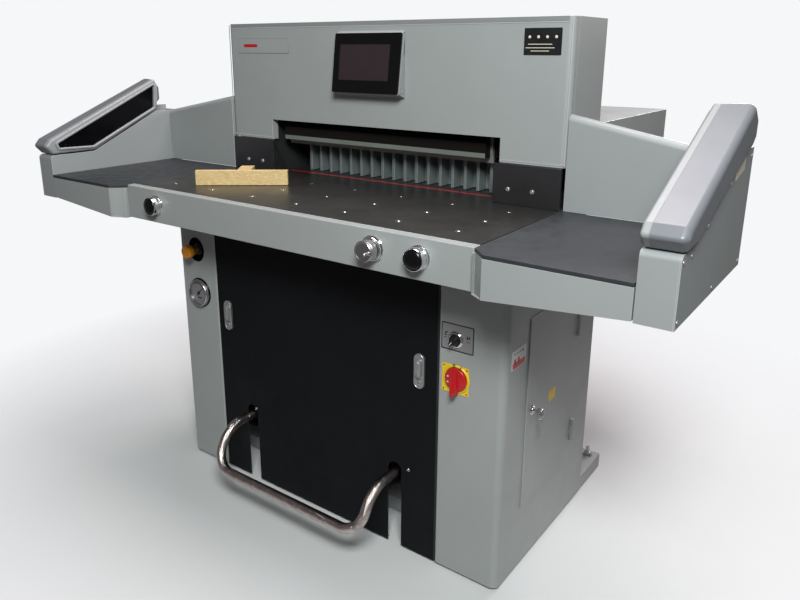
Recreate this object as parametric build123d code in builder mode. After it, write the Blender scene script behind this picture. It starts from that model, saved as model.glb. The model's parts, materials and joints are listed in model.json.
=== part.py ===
from build123d import *
import os
from math import atan2, cos, degrees, radians, sin

os.makedirs("parts", exist_ok=True)

# Guillotine paper cutter, in millimetres. X runs to the operator's right, Y towards the rear table, Z up.
# The origin is on the floor, under the middle of the machine's bounding box.

# ---- driving dimensions ----
table_top = 900.0        # working height
sheet = 2.5              # thickness of every sheet-metal cover
fit = 0.06               # radial clearance of a shaft in its bore

# planes across the machine, front to back
front = -406.0           # cabinet face
bar_front = front - 145  # front bar overhangs the cabinet
bar_back = bar_front + 25
wing_front = front - 180
wall_front = front - 178
guard_tip = front - 190
head_front = front + 266
head_back = front + 478
wing_back = front + 264
wall_back = front + 300
rear_end = front + 1015.3
cabinet_back = front + 525
foot_back = front + 690

# widths, measured from the middle of the table
half_table = 560.0
half_head = 565.0
half_opening = 391.0
wing_in = 561.5
wing_out = 883.0
wall_in = 885.0
wall_out = 953.0
guard_out = 962.0
cabinet_left = -532.0
cabinet_right = 570.0
door_left = -376.5
door_right = 391.0

# heights
foot_height = 45.0
skirt_bottom = 8.0       # covers stop short of the floor
cover_top = 803.0
table_plate = 22.0
bar_height = 92.0
head_bottom = 1001.0
head_top = 1342.0
opening_top = 1061.0
wall_bottom = 829.0
wall_top = 957.0
rear_cover_top = 1093.0

# knife: a diagonal stroke, down and to the right
cut_line = front + 334.0
knife_edge = 985.0
stroke_down = 84.5
stroke_side = 39.0
stroke_angle = degrees(atan2(stroke_side, stroke_down))
knife_left = -380.0
knife_length = 721.0
carrier_front = front + 300
carrier_back = front + 324

# clamp and backgauge
clamp_front = front + 336
clamp_back = front + 396
clamp_bottom = 1000.0
clamp_height = 120.0
clamp_middle = (clamp_front + clamp_back) / 2
fin_pitch = 40.0
fin_count = 17
fin_width = 8.0
gauge_front = front + 360
gauge_body = front + 402
gauge_back = front + 445
screw_height = 845.0
screw_radius = 12.0
rail_radius = 10.0
rail_spread = 120.0

# controls on the front bar
button_x = 432.0
handwheel_x = 312.0
control_height = 857.5

# controls on the cabinet
pressure_x = -462.0
pressure_z = 695.0
gauge_x = -455.0
gauge_z = 563.0
selector_x = 444.0
selector_z = 635.0
switch_x = 441.0
switch_z = 531.0
knob_places = ((selector_x - 4, selector_z - 5), (switch_x + 4, switch_z + 2))

# pedal
pedal_radius = 13.5
pedal_wall = 2.0
pivot_radius = 11.0
pedal_pivot_y = front + 90
pedal_pivot_z = 221.0
pedal_left = -254.0
pedal_right = 268.0
slot_half = 21.0


def block(x0, x1, y0, y1, z0, z1, mode=Mode.ADD):
    """Add or cut a box given by its two corners."""
    with Locations(((x0 + x1) / 2, (y0 + y1) / 2, (z0 + z1) / 2)):
        Box(x1 - x0, y1 - y0, z1 - z0, mode=mode)


def rod_x(y, z, radius, x0, x1, mode=Mode.ADD):
    """Add or cut a cylinder along X."""
    with Locations(Location(((x0 + x1) / 2, y, z), (0, 90, 0))):
        Cylinder(radius, x1 - x0, mode=mode)


def rod_y(x, z, radius, y0, y1, mode=Mode.ADD):
    """Add or cut a cylinder along Y."""
    with Locations(Location((x, (y0 + y1) / 2, z), (90, 0, 0))):
        Cylinder(radius, y1 - y0, mode=mode)


def rod_z(x, y, radius, z0, z1, mode=Mode.ADD):
    """Add or cut a cylinder along Z."""
    with Locations((x, y, (z0 + z1) / 2)):
        Cylinder(radius, z1 - z0, mode=mode)


def side_profile(points, x0, x1, radius=0.0, nose=0.0, mode=Mode.ADD):
    """Extrude a (y, z) outline between two X planes. radius rounds every corner, nose the upper front one."""
    with BuildSketch(Plane.YZ.offset(x0)) as outline:
        with BuildLine():
            Polyline(*points, close=True)
        make_face()
        if radius:
            fillet(outline.vertices(), radius=radius)
        if nose:
            fillet(outline.vertices().group_by(Axis.X)[0].sort_by(Axis.Y)[-1], radius=nose)
    extrude(outline.sketch, amount=x1 - x0, mode=mode)


def front_profile(points, y0, y1, radius=0.0, mode=Mode.ADD):
    """Extrude an (x, z) outline between two Y planes."""
    with BuildSketch(Plane.XZ.offset(-y0)) as outline:
        with BuildLine():
            Polyline(*points, close=True)
        make_face()
        if radius:
            fillet(outline.vertices(), radius=radius)
    extrude(outline.sketch, amount=-(y1 - y0), mode=mode)


# ================= base and frame =================
foot_width = 58.0
left_foot_x = -529.0
right_foot_x = 509.0
anchor_front = front + 75
anchor_rear = front + 590
bolt_front = front + 40
bolt_rear = front + 662
foot_middles = (left_foot_x + foot_width / 2, right_foot_x + foot_width / 2)

with BuildPart() as base_frame:
    for x in (left_foot_x, right_foot_x):
        block(x, x + foot_width, front + 20, foot_back, 0, foot_height)
    for y in (front + 120, front + 440):
        block(left_foot_x + foot_width, right_foot_x, y, y + 50, 5, foot_height)
    for x in (-180.0, 200.0):
        block(x - 40, x + 40, front + 170, front + 440, 37, foot_height)
    for x in foot_middles:
        for y in (anchor_front, anchor_rear):
            rod_z(x, y, 7.0, 0, foot_height, Mode.SUBTRACT)
        for y in (bolt_front, bolt_rear):
            rod_z(x, y, 6.05, 0, foot_height, Mode.SUBTRACT)
base_frame.part.label = "base_frame"
export_step(base_frame.part, "parts/base_frame.step")

with BuildPart() as levelling_bolts:
    for x in foot_middles:
        for y in (bolt_front, bolt_rear):
            rod_z(x, y, 6.0, 0.5, foot_height + 28)
            with BuildSketch(Plane.XY.offset(foot_height)):
                with Locations((x, y)):
                    RegularPolygon(12.0, 6)
            extrude(amount=11)
levelling_bolts.part.label = "levelling_bolts"
export_step(levelling_bolts.part, "parts/levelling_bolts.step")

frame_back = front + 500
frame_top = table_top - table_plate
frame_plates = ((-512.0, -488.0), (512.0, 536.0))

with BuildPart() as side_frames:
    for x0, x1 in frame_plates:
        block(x0, x1, front + 60, frame_back, foot_height, frame_top)
        block(x0, x1, front + 130, front + 430, 180, 700, Mode.SUBTRACT)
    block(-488, 512, front + 440, front + 475, 560, 660)
    block(-488, 512, front + 62, front + 92, 240, 300)
    for x in (pedal_left - 30, pedal_right + 20):
        block(x, x + 10, pedal_pivot_y - 18, pedal_pivot_y + 18, 200, 240)
        rod_x(pedal_pivot_y, pedal_pivot_z, pivot_radius + fit, x - 1, x + 11, Mode.SUBTRACT)
side_frames.part.label = "side_frames"
export_step(side_frames.part, "parts/side_frames.step")

# ================= cabinet covers =================
gauge_hole = 41.0

with BuildPart() as left_column_cover:
    with BuildSketch(Plane.XY.offset(skirt_bottom)):
        with BuildLine():
            FilletPolyline((-380.5, front + 41), (-380.5, front + 1.25), (cabinet_left + 1.25, front + 1.25),
                           (cabinet_left + 1.25, cabinet_back), radius=5)
        trace(line_width=sheet)
    extrude(amount=cover_top - skirt_bottom)
    with BuildSketch(Plane.XZ.offset(-front + 5)):
        with Locations((pressure_x, pressure_z)):
            Ellipse(34, 37)
        with Locations((gauge_x, gauge_z)):
            Circle(gauge_hole)
    extrude(amount=-20, mode=Mode.SUBTRACT)
left_column_cover.part.label = "left_column_cover"
export_step(left_column_cover.part, "parts/left_column_cover.step")

access_y0 = front + 113
access_y1 = front + 398
access_z0 = 176.0
access_z1 = 676.0
hinge_x = cabinet_right + 6
hinge_y = access_y1 + 5
hinge_heights = (250.0, 560.0)

with BuildPart() as right_cabinet_cover:
    with BuildSketch(Plane.XY.offset(skirt_bottom)):
        with BuildLine():
            FilletPolyline((394.75, front + 41), (394.75, front + 1.25), (430, front + 1.25), radius=5)
            FilletPolyline((430, front + 1.25), (cabinet_right - 1.25, front + 1.25),
                           (cabinet_right - 1.25, cabinet_back), radius=18)
        trace(line_width=sheet)
    extrude(amount=cover_top - skirt_bottom)
    block(cabinet_right - 9, cabinet_right + 9, access_y0 + 12, access_y1 - 12,
          access_z0 + 12, access_z1 - 12, Mode.SUBTRACT)
    for x, z in knob_places:
        rod_y(x, z, 5 + fit, front - 3, front + 3, Mode.SUBTRACT)
    for z in hinge_heights:
        for z0 in (z - 18, z + 28.5):
            rod_z(hinge_x, hinge_y, 5.0, z0, z0 + 17.5)
            block(cabinet_right - 1, hinge_x, hinge_y + 0.5, hinge_y + 5, z0, z0 + 17.5)
        rod_z(hinge_x, hinge_y, 2.5, z - 18, z + 46)
right_cabinet_cover.part.label = "right_cabinet_cover"
export_step(right_cabinet_cover.part, "parts/right_cabinet_cover.step")

with BuildPart() as rear_panel:
    block(cabinet_left + sheet, cabinet_right - sheet, cabinet_back - sheet, cabinet_back,
          foot_height + 1, cover_top)
    for x in (-300.0, 330.0):
        for row in range(8):
            z = 560 + 18 * row
            block(x - 75, x + 75, cabinet_back - 10, cabinet_back + 10, z, z + 7, Mode.SUBTRACT)
    rod_y(440, 130, 16, cabinet_back - 10, cabinet_back + 10, Mode.SUBTRACT)
    rod_y(440, 130, 16, cabinet_back - 12, cabinet_back + 14)
    rod_y(440, 130, 22, cabinet_back, cabinet_back + 6)
    rod_y(440, 130, 6.5, cabinet_back - 12, cabinet_back + 14, Mode.SUBTRACT)
rear_panel.part.label = "rear_panel"
export_step(rear_panel.part, "parts/rear_panel.step")

# ================= front door, latches and pedal =================
latch_places = ((-333.5, 517.0), (341.5, 525.0))
pivot_drop = 22.0

with BuildPart() as front_door:
    block(door_left, door_right, front, front + sheet, 10, 800)
    for x0 in (door_left, door_right - sheet):
        block(x0, x0 + sheet, front + sheet, front + 26, 10, 800)
    block(door_left + sheet, door_right - sheet, front + sheet, front + 26, 800 - sheet, 800)
    for x in (pedal_left, pedal_right):
        with BuildSketch(Plane.XZ.offset(-front + 30)):
            with Locations((x, 115)):
                Rectangle(2 * slot_half, 230)
            with Locations((x, 230)):
                Circle(slot_half)
        extrude(amount=-60, mode=Mode.SUBTRACT)
    for x, z in latch_places:
        with BuildSketch(Plane.XZ.offset(-front)):
            with Locations((x, z)):
                SlotOverall(90, 29, rotation=90)
        extrude(amount=4)
        rod_y(x, z - 30, 7, front - 6, front - 4)
        rod_y(x, z + pivot_drop, 6 + fit, front - 10, front + 10, Mode.SUBTRACT)
front_door.part.label = "front_door"
export_step(front_door.part, "parts/front_door.step")


def latch_handle(x, z):
    """A flip lever on a turning shaft, with its cam behind the door sheet."""
    rod_y(x, z, 6.0, front - 6, front + 16)
    with BuildSketch(Plane.XZ.offset(-front + 4.5)) as lever:
        with Locations((x, z - 13)):
            SlotOverall(46, 17, rotation=90)
    extrude(lever.sketch, amount=8)
    block(x - 7, x + 7, front + 10, front + 14, z - 12, z + 12)


with BuildPart() as left_latch_handle:
    latch_handle(latch_places[0][0], latch_places[0][1] + pivot_drop)
left_latch_handle.part.label = "left_latch_handle"
export_step(left_latch_handle.part, "parts/left_latch_handle.step")

with BuildPart() as right_latch_handle:
    latch_handle(latch_places[1][0], latch_places[1][1] + pivot_drop)
right_latch_handle.part.label = "right_latch_handle"
export_step(right_latch_handle.part, "parts/right_latch_handle.step")

pedal_bend_y = front - 95
pedal_bend = 85.0
pedal_bar_y = front - 150
pedal_bar_z = 119.0
pedal_corner = 60.0

with BuildPart() as pedal:
    with BuildLine():
        FilletPolyline(
            (pedal_left, pedal_pivot_y, pedal_pivot_z), (pedal_left, pedal_bend_y, pedal_pivot_z),
            (pedal_left, pedal_bar_y, pedal_bar_z), (pedal_right, pedal_bar_y, pedal_bar_z),
            (pedal_right, pedal_bend_y, pedal_pivot_z), (pedal_right, pedal_pivot_y, pedal_pivot_z),
            radius=[pedal_bend, pedal_corner, pedal_corner, pedal_bend])
    with BuildSketch(Plane(origin=(pedal_left, pedal_pivot_y, pedal_pivot_z), z_dir=(0, -1, 0))):
        Circle(pedal_radius)
        Circle(pedal_radius - pedal_wall, mode=Mode.SUBTRACT)
    sweep()
    rod_x(pedal_pivot_y, pedal_pivot_z, pivot_radius, pedal_left - 32, pedal_right + 32)
pedal.part.label = "pedal"
export_step(pedal.part, "parts/pedal.step")

# ================= right access door =================
with BuildPart() as access_door:
    block(cabinet_right + 0.5, cabinet_right + 3, access_y0, access_y1, access_z0, access_z1)
    for z in hinge_heights:
        block(cabinet_right + 0.5, hinge_x, access_y1 - 1, hinge_y - 2.6, z, z + 28)
        rod_z(hinge_x, hinge_y, 5.0, z, z + 28)
        rod_z(hinge_x, hinge_y, 2.5 + fit, z, z + 28, Mode.SUBTRACT)
    rod_x(front + 143, 434, 9 + fit, cabinet_right, cabinet_right + 4, Mode.SUBTRACT)
access_door.part.label = "access_door"
export_step(access_door.part, "parts/access_door.step")

with BuildPart() as access_lock:
    rod_x(front + 143, 434, 9, cabinet_right - 6, cabinet_right + 9)
    rod_x(front + 143, 434, 14, cabinet_right + 3.4, cabinet_right + 6)
    block(cabinet_right + 8, cabinet_right + 30, front + 141.8, front + 144.2, 425, 443)
    block(cabinet_right - 6, cabinet_right - 3, front + 137, front + 149, 417, 451)
access_lock.part.label = "access_lock"
export_step(access_lock.part, "parts/access_lock.step")

# ================= main table, front bar, cutting stick =================
ball_radius = 6.0
ball_height = table_top - 5.0
ball_pitch = 156.0
ball_rows = (front - 50, front + 65, front + 180)
ball_places = [(column * ball_pitch, y) for column in range(-3, 4) for y in ball_rows]
stick_front = front + 318
stick_back = front + 331
stick_depth = 14.0
slot_width = 26.0
slot_start = front + 396
casting_back = front + 470

with BuildPart() as main_table:
    block(-half_table + 1, half_table - 1, bar_back + 0.5, casting_back, table_top - table_plate, table_top)
    block(-half_table + 30, half_table - 30, front, front + 15, cover_top + 1, table_top - table_plate)
    block(-376, 376, stick_front, stick_back, table_top - stick_depth, table_top, Mode.SUBTRACT)
    block(-slot_width / 2, slot_width / 2, slot_start, casting_back, 800, table_top + 1, Mode.SUBTRACT)
    for x, y in ball_places:
        rod_z(x, y, ball_radius + 0.4, ball_height - ball_radius, table_top, Mode.SUBTRACT)
main_table.part.label = "main_table"
export_step(main_table.part, "parts/main_table.step")

with BuildPart() as air_balls:
    for x, y in ball_places:
        with Locations((x, y, ball_height)):
            Sphere(ball_radius)
air_balls.part.label = "air_balls"
export_step(air_balls.part, "parts/air_balls.step")

with BuildPart() as cutting_stick:
    block(-375.5, 375.5, stick_front + 0.4, stick_back - 0.4, table_top - stick_depth, table_top)
cutting_stick.part.label = "cutting_stick"
export_step(cutting_stick.part, "parts/cutting_stick.step")

button_shank = 15.0
cap_radius = 22.0
wheel_shank = 12.5

with BuildPart() as front_bar:
    block(-half_table, half_table, bar_front, bar_back, table_top - bar_height, table_top)
    fillet(front_bar.edges().filter_by(Axis.Z).group_by(Axis.Y)[0], radius=4)
    fillet(front_bar.edges().filter_by(Axis.X).group_by(Axis.Y)[0], radius=2)
    for x in (-button_x, button_x):
        rod_y(x, control_height, button_shank + 0.1, bar_front - 5, bar_back + 5, Mode.SUBTRACT)
    rod_y(handwheel_x, control_height, wheel_shank + 0.1, bar_front - 5, bar_back + 5, Mode.SUBTRACT)
front_bar.part.label = "front_bar"
export_step(front_bar.part, "parts/front_bar.step")

with BuildPart() as bar_fittings:
    for x in (-button_x, button_x):
        rod_y(x, control_height, 24.5, bar_front - 25, bar_front)
        rod_y(x, control_height, button_shank, bar_front, bar_back + 30)
        rod_y(x, control_height, cap_radius + 0.4, bar_front - 26, bar_front - 9, Mode.SUBTRACT)
        rod_y(x, control_height, 10 + fit, bar_front - 12, bar_back + 31, Mode.SUBTRACT)
    rod_y(handwheel_x, control_height, 29.5, bar_front - 10, bar_front)
    rod_y(handwheel_x, control_height, wheel_shank, bar_front, bar_back + 30)
    rod_y(handwheel_x, control_height, 8 + fit, bar_front - 12, bar_back + 31, Mode.SUBTRACT)
bar_fittings.part.label = "bar_fittings"
export_step(bar_fittings.part, "parts/bar_fittings.step")


def push_button(x):
    """A mushroom cap on a plunger that slides in the fitting."""
    rod_y(x, control_height, cap_radius, bar_front - 29, bar_front - 17)
    rod_y(x, control_height, 10, bar_front - 17, bar_back + 14)


with BuildPart() as left_push_button:
    push_button(-button_x)
    fillet(left_push_button.edges().filter_by(GeomType.CIRCLE).group_by(Axis.Y)[0], radius=3)
left_push_button.part.label = "left_push_button"
export_step(left_push_button.part, "parts/left_push_button.step")

with BuildPart() as right_push_button:
    push_button(button_x)
    fillet(right_push_button.edges().filter_by(GeomType.CIRCLE).group_by(Axis.Y)[0], radius=3)
right_push_button.part.label = "right_push_button"
export_step(right_push_button.part, "parts/right_push_button.step")

with BuildPart() as handwheel:
    rod_y(handwheel_x, control_height, 23, bar_front - 36, bar_front - 12)
    rod_y(handwheel_x, control_height, 8, bar_front - 12, bar_back + 36)
    rod_y(handwheel_x, control_height, 11, bar_back + 31, bar_back + 37)
    fillet(handwheel.edges().filter_by(GeomType.CIRCLE).group_by(Axis.Y)[0], radius=2)
    rod_y(handwheel_x + 16, control_height - 1, 4, bar_front - 54, bar_front - 36)
handwheel.part.label = "handwheel"
export_step(handwheel.part, "parts/handwheel.step")

# ================= uprights and head =================
upright_in = 400.0
upright_out = 545.0
beam_bottom = 1180.0
beam_top = 1290.0
beam_front = front + 328
beam_back = front + 440
clamp_rod_x = 250.0
ram_radius = 12.5
guide_slot = (-255.0, 255.0)
guide_height = 1208.0
guide_half = 20.0
guide_width = 15.0

with BuildPart() as uprights:
    for side in (-1, 1):
        x0, x1 = sorted((side * upright_in, side * upright_out))
        block(x0, x1, front + 268, front + 468, table_top, head_bottom - 2)
        block(x0, x1, front + 292, front + 468, table_top, 1300)
        x0, x1 = sorted((side * (upright_in + 30), side * (upright_out + 1)))
        block(x0, x1, front + 290, front + 446, table_top + 30, 1170, Mode.SUBTRACT)
uprights.part.label = "uprights"
export_step(uprights.part, "parts/uprights.step")

with BuildPart() as head_crossbeam:
    block(-upright_in, upright_in, beam_front, beam_back, beam_bottom, beam_top)
    rod_z(0, clamp_middle, 26.05, beam_bottom - 1, beam_top + 1, Mode.SUBTRACT)
    for x in (-clamp_rod_x, clamp_rod_x):
        rod_z(x, clamp_middle, 12 + fit, beam_bottom - 1, beam_top + 1, Mode.SUBTRACT)
    for x in guide_slot:
        with BuildSketch(Plane.XZ.offset(-beam_front)):
            with Locations((x, guide_height)):
                Rectangle(2 * guide_width, 2 * guide_half, rotation=stroke_angle)
        extrude(amount=beam_front - carrier_front - 2)
head_crossbeam.part.label = "head_crossbeam"
export_step(head_crossbeam.part, "parts/head_crossbeam.step")

skin_x = half_head - sheet / 2
lip = 24.0

with BuildPart() as head_front_cover:
    with BuildSketch(Plane.XY.offset(head_bottom)):
        with BuildLine():
            FilletPolyline((-skin_x, head_front + 26), (-skin_x, head_front + 1.25),
                           (skin_x, head_front + 1.25), (skin_x, head_front + 26), radius=14)
        trace(line_width=sheet)
    extrude(amount=head_top - head_bottom)
    block(-half_opening, half_opening, head_front - 1, head_front + 5,
          head_bottom - 1, opening_top, Mode.SUBTRACT)
    block(-half_opening - sheet, half_opening + sheet, head_front, head_front + lip,
          opening_top, opening_top + sheet)
    for side in (-1, 1):
        x0, x1 = sorted((side * half_opening, side * (half_opening + sheet)))
        block(x0, x1, head_front, head_front + lip, head_bottom, opening_top)
        x0, x1 = sorted((side * (half_opening + sheet), side * (half_head - 16)))
        block(x0, x1, head_front, head_front + lip, head_bottom, head_bottom + sheet)
head_front_cover.part.label = "head_front_cover"
export_step(head_front_cover.part, "parts/head_front_cover.step")

with BuildPart() as head_rear_cover:
    with BuildSketch(Plane.XY.offset(table_top + 0.5)):
        with BuildLine():
            FilletPolyline((-skin_x, head_front + 27), (-skin_x, head_back - 1.25),
                           (skin_x, head_back - 1.25), (skin_x, head_front + 27), radius=16)
        trace(line_width=sheet)
    extrude(amount=head_top - table_top - 0.5)
    block(-540, 540, head_back - 8, head_back + 8, table_top, rear_cover_top - 6, Mode.SUBTRACT)
    with BuildSketch(Plane.XY.offset(head_top - sheet)):
        with Locations((0, (head_front + head_back) / 2)):
            RectangleRounded(2 * half_head - 2 * sheet, head_back - head_front - 2 * sheet - 0.2, 14)
    extrude(amount=sheet)
head_rear_cover.part.label = "head_rear_cover"
export_step(head_rear_cover.part, "parts/head_rear_cover.step")

plate_left = (-558.0, -384.0)
plate_right = (380.0, 558.0)

with BuildPart() as steel_plates:
    for x0, x1 in (plate_left, plate_right):
        block(x0, x1, front + 258, front + 267.5, table_top + 0.5, head_bottom - 1)
steel_plates.part.label = "steel_plates"
export_step(steel_plates.part, "parts/steel_plates.step")

with BuildPart() as side_guides:
    for x0 in (-392.0, 385.0):
        with BuildSketch(Plane.YZ.offset(x0)):
            with BuildLine():
                Line((front + 268, table_top + 0.5), (front + 268, head_bottom - 6))
                Line((front + 268, head_bottom - 6), (front + 271, head_bottom - 6))
                Spline((front + 271, head_bottom - 6), (front + 284, 962), (front + 298, 940),
                       (front + 314, 914))
                Line((front + 314, 914), (front + 314, table_top + 0.5))
                Line((front + 314, table_top + 0.5), (front + 268, table_top + 0.5))
            make_face()
        extrude(amount=7)
side_guides.part.label = "side_guides"
export_step(side_guides.part, "parts/side_guides.step")

# ================= knife =================
carrier_bottom = 1001.0
carrier_left = -372.0
carrier_right = 334.0
ear_width = 150.0
ram_x = 30.0
ram_bottom = 1178.0
ram_y = front + 309
ram_down = Vector(sin(radians(stroke_angle)), 0, -cos(radians(stroke_angle)))
slot_length = stroke_down / cos(radians(stroke_angle))

with BuildPart() as knife_carrier:
    block(carrier_left, carrier_right, carrier_front, carrier_back, carrier_bottom, 1165)
    for x in guide_slot:
        block(x - ear_width / 2 - 20, x + ear_width / 2 - 10, carrier_front, carrier_back, 1165, 1315)
    for x in guide_slot:
        with BuildSketch(Plane.XZ.offset(-carrier_front + 5)):
            with Locations((x - ram_down.X * slot_length / 2, guide_height - ram_down.Z * slot_length / 2)):
                Rectangle(2 * guide_width + 1, 2 * guide_half + slot_length + 2, rotation=stroke_angle)
        extrude(amount=-40, mode=Mode.SUBTRACT)
    with BuildSketch(Plane(origin=(ram_x, ram_y, ram_bottom) + ram_down * 20, z_dir=-ram_down)):
        Circle(9)
    extrude(amount=136)
knife_carrier.part.label = "knife_carrier"
export_step(knife_carrier.part, "parts/knife_carrier.step")

with BuildPart() as knife:
    side_profile(((cut_line, knife_edge), (cut_line, knife_edge + 100), (carrier_back, knife_edge + 100),
                  (carrier_back, knife_edge + 27)), knife_left, knife_left + knife_length)
    for index in range(8):
        rod_y(knife_left + 45 + index * 90, carrier_bottom + 40, 6, carrier_back - 1, cut_line + 1,
              Mode.SUBTRACT)
knife.part.label = "knife"
export_step(knife.part, "parts/knife.step")

with BuildPart() as knife_cylinder:
    with BuildSketch(Plane(origin=(ram_x, ram_y, ram_bottom), z_dir=-ram_down)):
        Circle(18)
    extrude(amount=146)
    with BuildSketch(Plane(origin=(ram_x, ram_y, ram_bottom), z_dir=-ram_down)):
        Circle(9 + fit)
    extrude(amount=128, mode=Mode.SUBTRACT)
    block(-50, 30, ram_y + 10, beam_front, 1215, 1275)
    with BuildSketch(Plane(origin=(ram_x, ram_y, ram_bottom), z_dir=-ram_down)):
        Circle(9 + fit)
    extrude(amount=128, mode=Mode.SUBTRACT)
knife_cylinder.part.label = "knife_cylinder"
export_step(knife_cylinder.part, "parts/knife_cylinder.step")

# ================= clamp =================
comb_depth = 96.0
comb_width = 14.0
fin_places = [(index - fin_count // 2) * fin_pitch for index in range(fin_count)]

with BuildPart() as clamp_beam:
    block(-383, 383, clamp_front, clamp_back, clamp_bottom, clamp_bottom + clamp_height)
    for x in fin_places:
        block(x - comb_width / 2, x + comb_width / 2, clamp_front + 16, clamp_back + 1,
              clamp_bottom - 1, clamp_bottom + comb_depth, Mode.SUBTRACT)
    for x in (-clamp_rod_x, clamp_rod_x):
        rod_z(x, clamp_middle, 12, clamp_bottom + clamp_height, 1322)
    rod_z(0, clamp_middle, ram_radius, clamp_bottom + clamp_height, 1250)
clamp_beam.part.label = "clamp_beam"
export_step(clamp_beam.part, "parts/clamp_beam.step")

with BuildPart() as clamp_cylinder:
    rod_z(0, clamp_middle, 26, 1134, 1330)
    rod_z(0, clamp_middle, ram_radius + fit, 1134, 1262, Mode.SUBTRACT)
    rod_z(0, clamp_middle, 34, beam_top, beam_top + 12)
    rod_x(clamp_middle, 1315, 6, 24, 44)
clamp_cylinder.part.label = "clamp_cylinder"
export_step(clamp_cylinder.part, "parts/clamp_cylinder.step")

# ================= rear table and backgauge =================
rear_plate = 15.0
rail_front = front + 345
rail_back = front + 1004
pulley_y = front + 318

with BuildPart() as rear_table:
    block(-half_opening, half_opening, casting_back + 0.5, rail_back, table_top - rear_plate, table_top)
    block(-slot_width / 2, slot_width / 2, casting_back, front + 990, 800, table_top + 1, Mode.SUBTRACT)
    for side in (-1, 1):
        x0, x1 = sorted((side * 350, side * 380))
        block(x0, x1, casting_back + 0.5, rail_back, table_top - 50, table_top - rear_plate)
rear_table.part.label = "rear_table"
export_step(rear_table.part, "parts/rear_table.step")

with BuildPart() as backgauge_rails:
    block(-150, 150, rail_front, rail_front + 14, screw_height - 26, table_top - table_plate)
    block(-150, 150, rail_back - 14, rail_back, screw_height - 26, table_top - rear_plate)
    for x in (-rail_spread, rail_spread):
        rod_y(x, screw_height, rail_radius, rail_front, rail_back)
    rod_y(0, screw_height, screw_radius + fit, rail_front - 1, rail_back + 1, Mode.SUBTRACT)
backgauge_rails.part.label = "backgauge_rails"
export_step(backgauge_rails.part, "parts/backgauge_rails.step")

with BuildPart() as backgauge:
    block(-365, 365, gauge_body, gauge_back, table_top + 2, knife_edge)
    for x in fin_places:
        block(x - fin_width / 2, x + fin_width / 2, gauge_front, gauge_body, table_top + 2, knife_edge)
    block(-10, 10, gauge_body + 3, gauge_back - 3, screw_height + 25, table_top + 2)
    block(-140, 140, gauge_body, gauge_back, screw_height - 25, screw_height + 27)
    for x in (-rail_spread, rail_spread):
        rod_y(x, screw_height, rail_radius + fit, gauge_body - 1, gauge_back + 1, Mode.SUBTRACT)
    rod_y(0, screw_height, screw_radius + fit, gauge_body - 1, gauge_back + 1, Mode.SUBTRACT)
backgauge.part.label = "backgauge"
export_step(backgauge.part, "parts/backgauge.step")

pulley_radius = 24.0
motor_radius = 14.0
motor_z = 740.0

with BuildPart() as leadscrew:
    rod_y(0, screw_height, screw_radius, pulley_y, rail_back)
    rod_y(0, screw_height, pulley_radius, pulley_y - 9, pulley_y + 9)
    for y0 in (pulley_y - 11, pulley_y + 9):
        rod_y(0, screw_height, pulley_radius + 4, y0, y0 + 2)
leadscrew.part.label = "leadscrew"
export_step(leadscrew.part, "parts/leadscrew.step")

with BuildPart() as backgauge_motor:
    block(-45, 45, front + 180, front + 284, motor_z - 45, motor_z + 45)
    block(-60, 60, front + 284, front + 290, motor_z - 60, table_top - table_plate)
    rod_y(0, motor_z, 8 + fit, front + 260, front + 291, Mode.SUBTRACT)
backgauge_motor.part.label = "backgauge_motor"
export_step(backgauge_motor.part, "parts/backgauge_motor.step")

with BuildPart() as motor_pulley:
    rod_y(0, motor_z, 8, front + 262, pulley_y + 10)
    rod_y(0, motor_z, motor_radius, pulley_y - 9, pulley_y + 9)
motor_pulley.part.label = "motor_pulley"
export_step(motor_pulley.part, "parts/motor_pulley.step")

belt_gap = 0.6
belt_thickness = 3.0

with BuildPart() as drive_belt:
    with BuildSketch(Plane.XZ.offset(-pulley_y + 6)):
        with Locations((0, screw_height)):
            Circle(pulley_radius + belt_gap + belt_thickness)
        with Locations((0, motor_z)):
            Circle(motor_radius + belt_gap + belt_thickness)
        make_hull()
        with Locations((0, screw_height)):
            Circle(pulley_radius + belt_gap, mode=Mode.SUBTRACT)
        with Locations((0, motor_z)):
            Circle(motor_radius + belt_gap, mode=Mode.SUBTRACT)
        with Locations((0, (screw_height + motor_z) / 2)):
            Trapezoid(2 * motor_radius, screw_height - motor_z, 84.6, mode=Mode.SUBTRACT)
    extrude(amount=-12)
drive_belt.part.label = "drive_belt"
export_step(drive_belt.part, "parts/drive_belt.step")

with BuildPart() as rear_table_cover:
    block(-571, 571, head_back + 0.5, rear_end, table_top - 38, rear_cover_top)
    block(-571 + sheet, 571 - sheet, head_back - 1, rear_end - sheet,
          850, rear_cover_top - sheet, Mode.SUBTRACT)
rear_table_cover.part.label = "rear_table_cover"
export_step(rear_table_cover.part, "parts/rear_table_cover.step")

# ================= side tables =================
chamfer_x = 598.0
board_thickness = 8.5
tray_in_depth = 94.0
tray_out_depth = 68.0
tray_top = table_top - board_thickness
board_outline = ((wing_in, bar_front), (chamfer_x, wing_front), (wing_out, wing_front), (wing_out, wing_back),
                 (wing_in, wing_back))
tray_profile = ((wing_in, tray_top), (wing_in, table_top - tray_in_depth),
                (wing_out, table_top - tray_out_depth), (wing_out, tray_top))
tray_hollow = ((wing_in + sheet, tray_top + 1), (wing_in + sheet, table_top - tray_in_depth + sheet),
               (wing_out - sheet, table_top - tray_out_depth + sheet), (wing_out - sheet, tray_top + 1))
corner_cut = ((wing_in - 5, bar_front - 5.2), (chamfer_x + 3, wing_front - 3), (wing_in - 5, wing_front - 3))
corner_face = ((wing_in, bar_front), (chamfer_x, wing_front), (chamfer_x + 4, wing_front),
               (wing_in, bar_front + 4))

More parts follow.
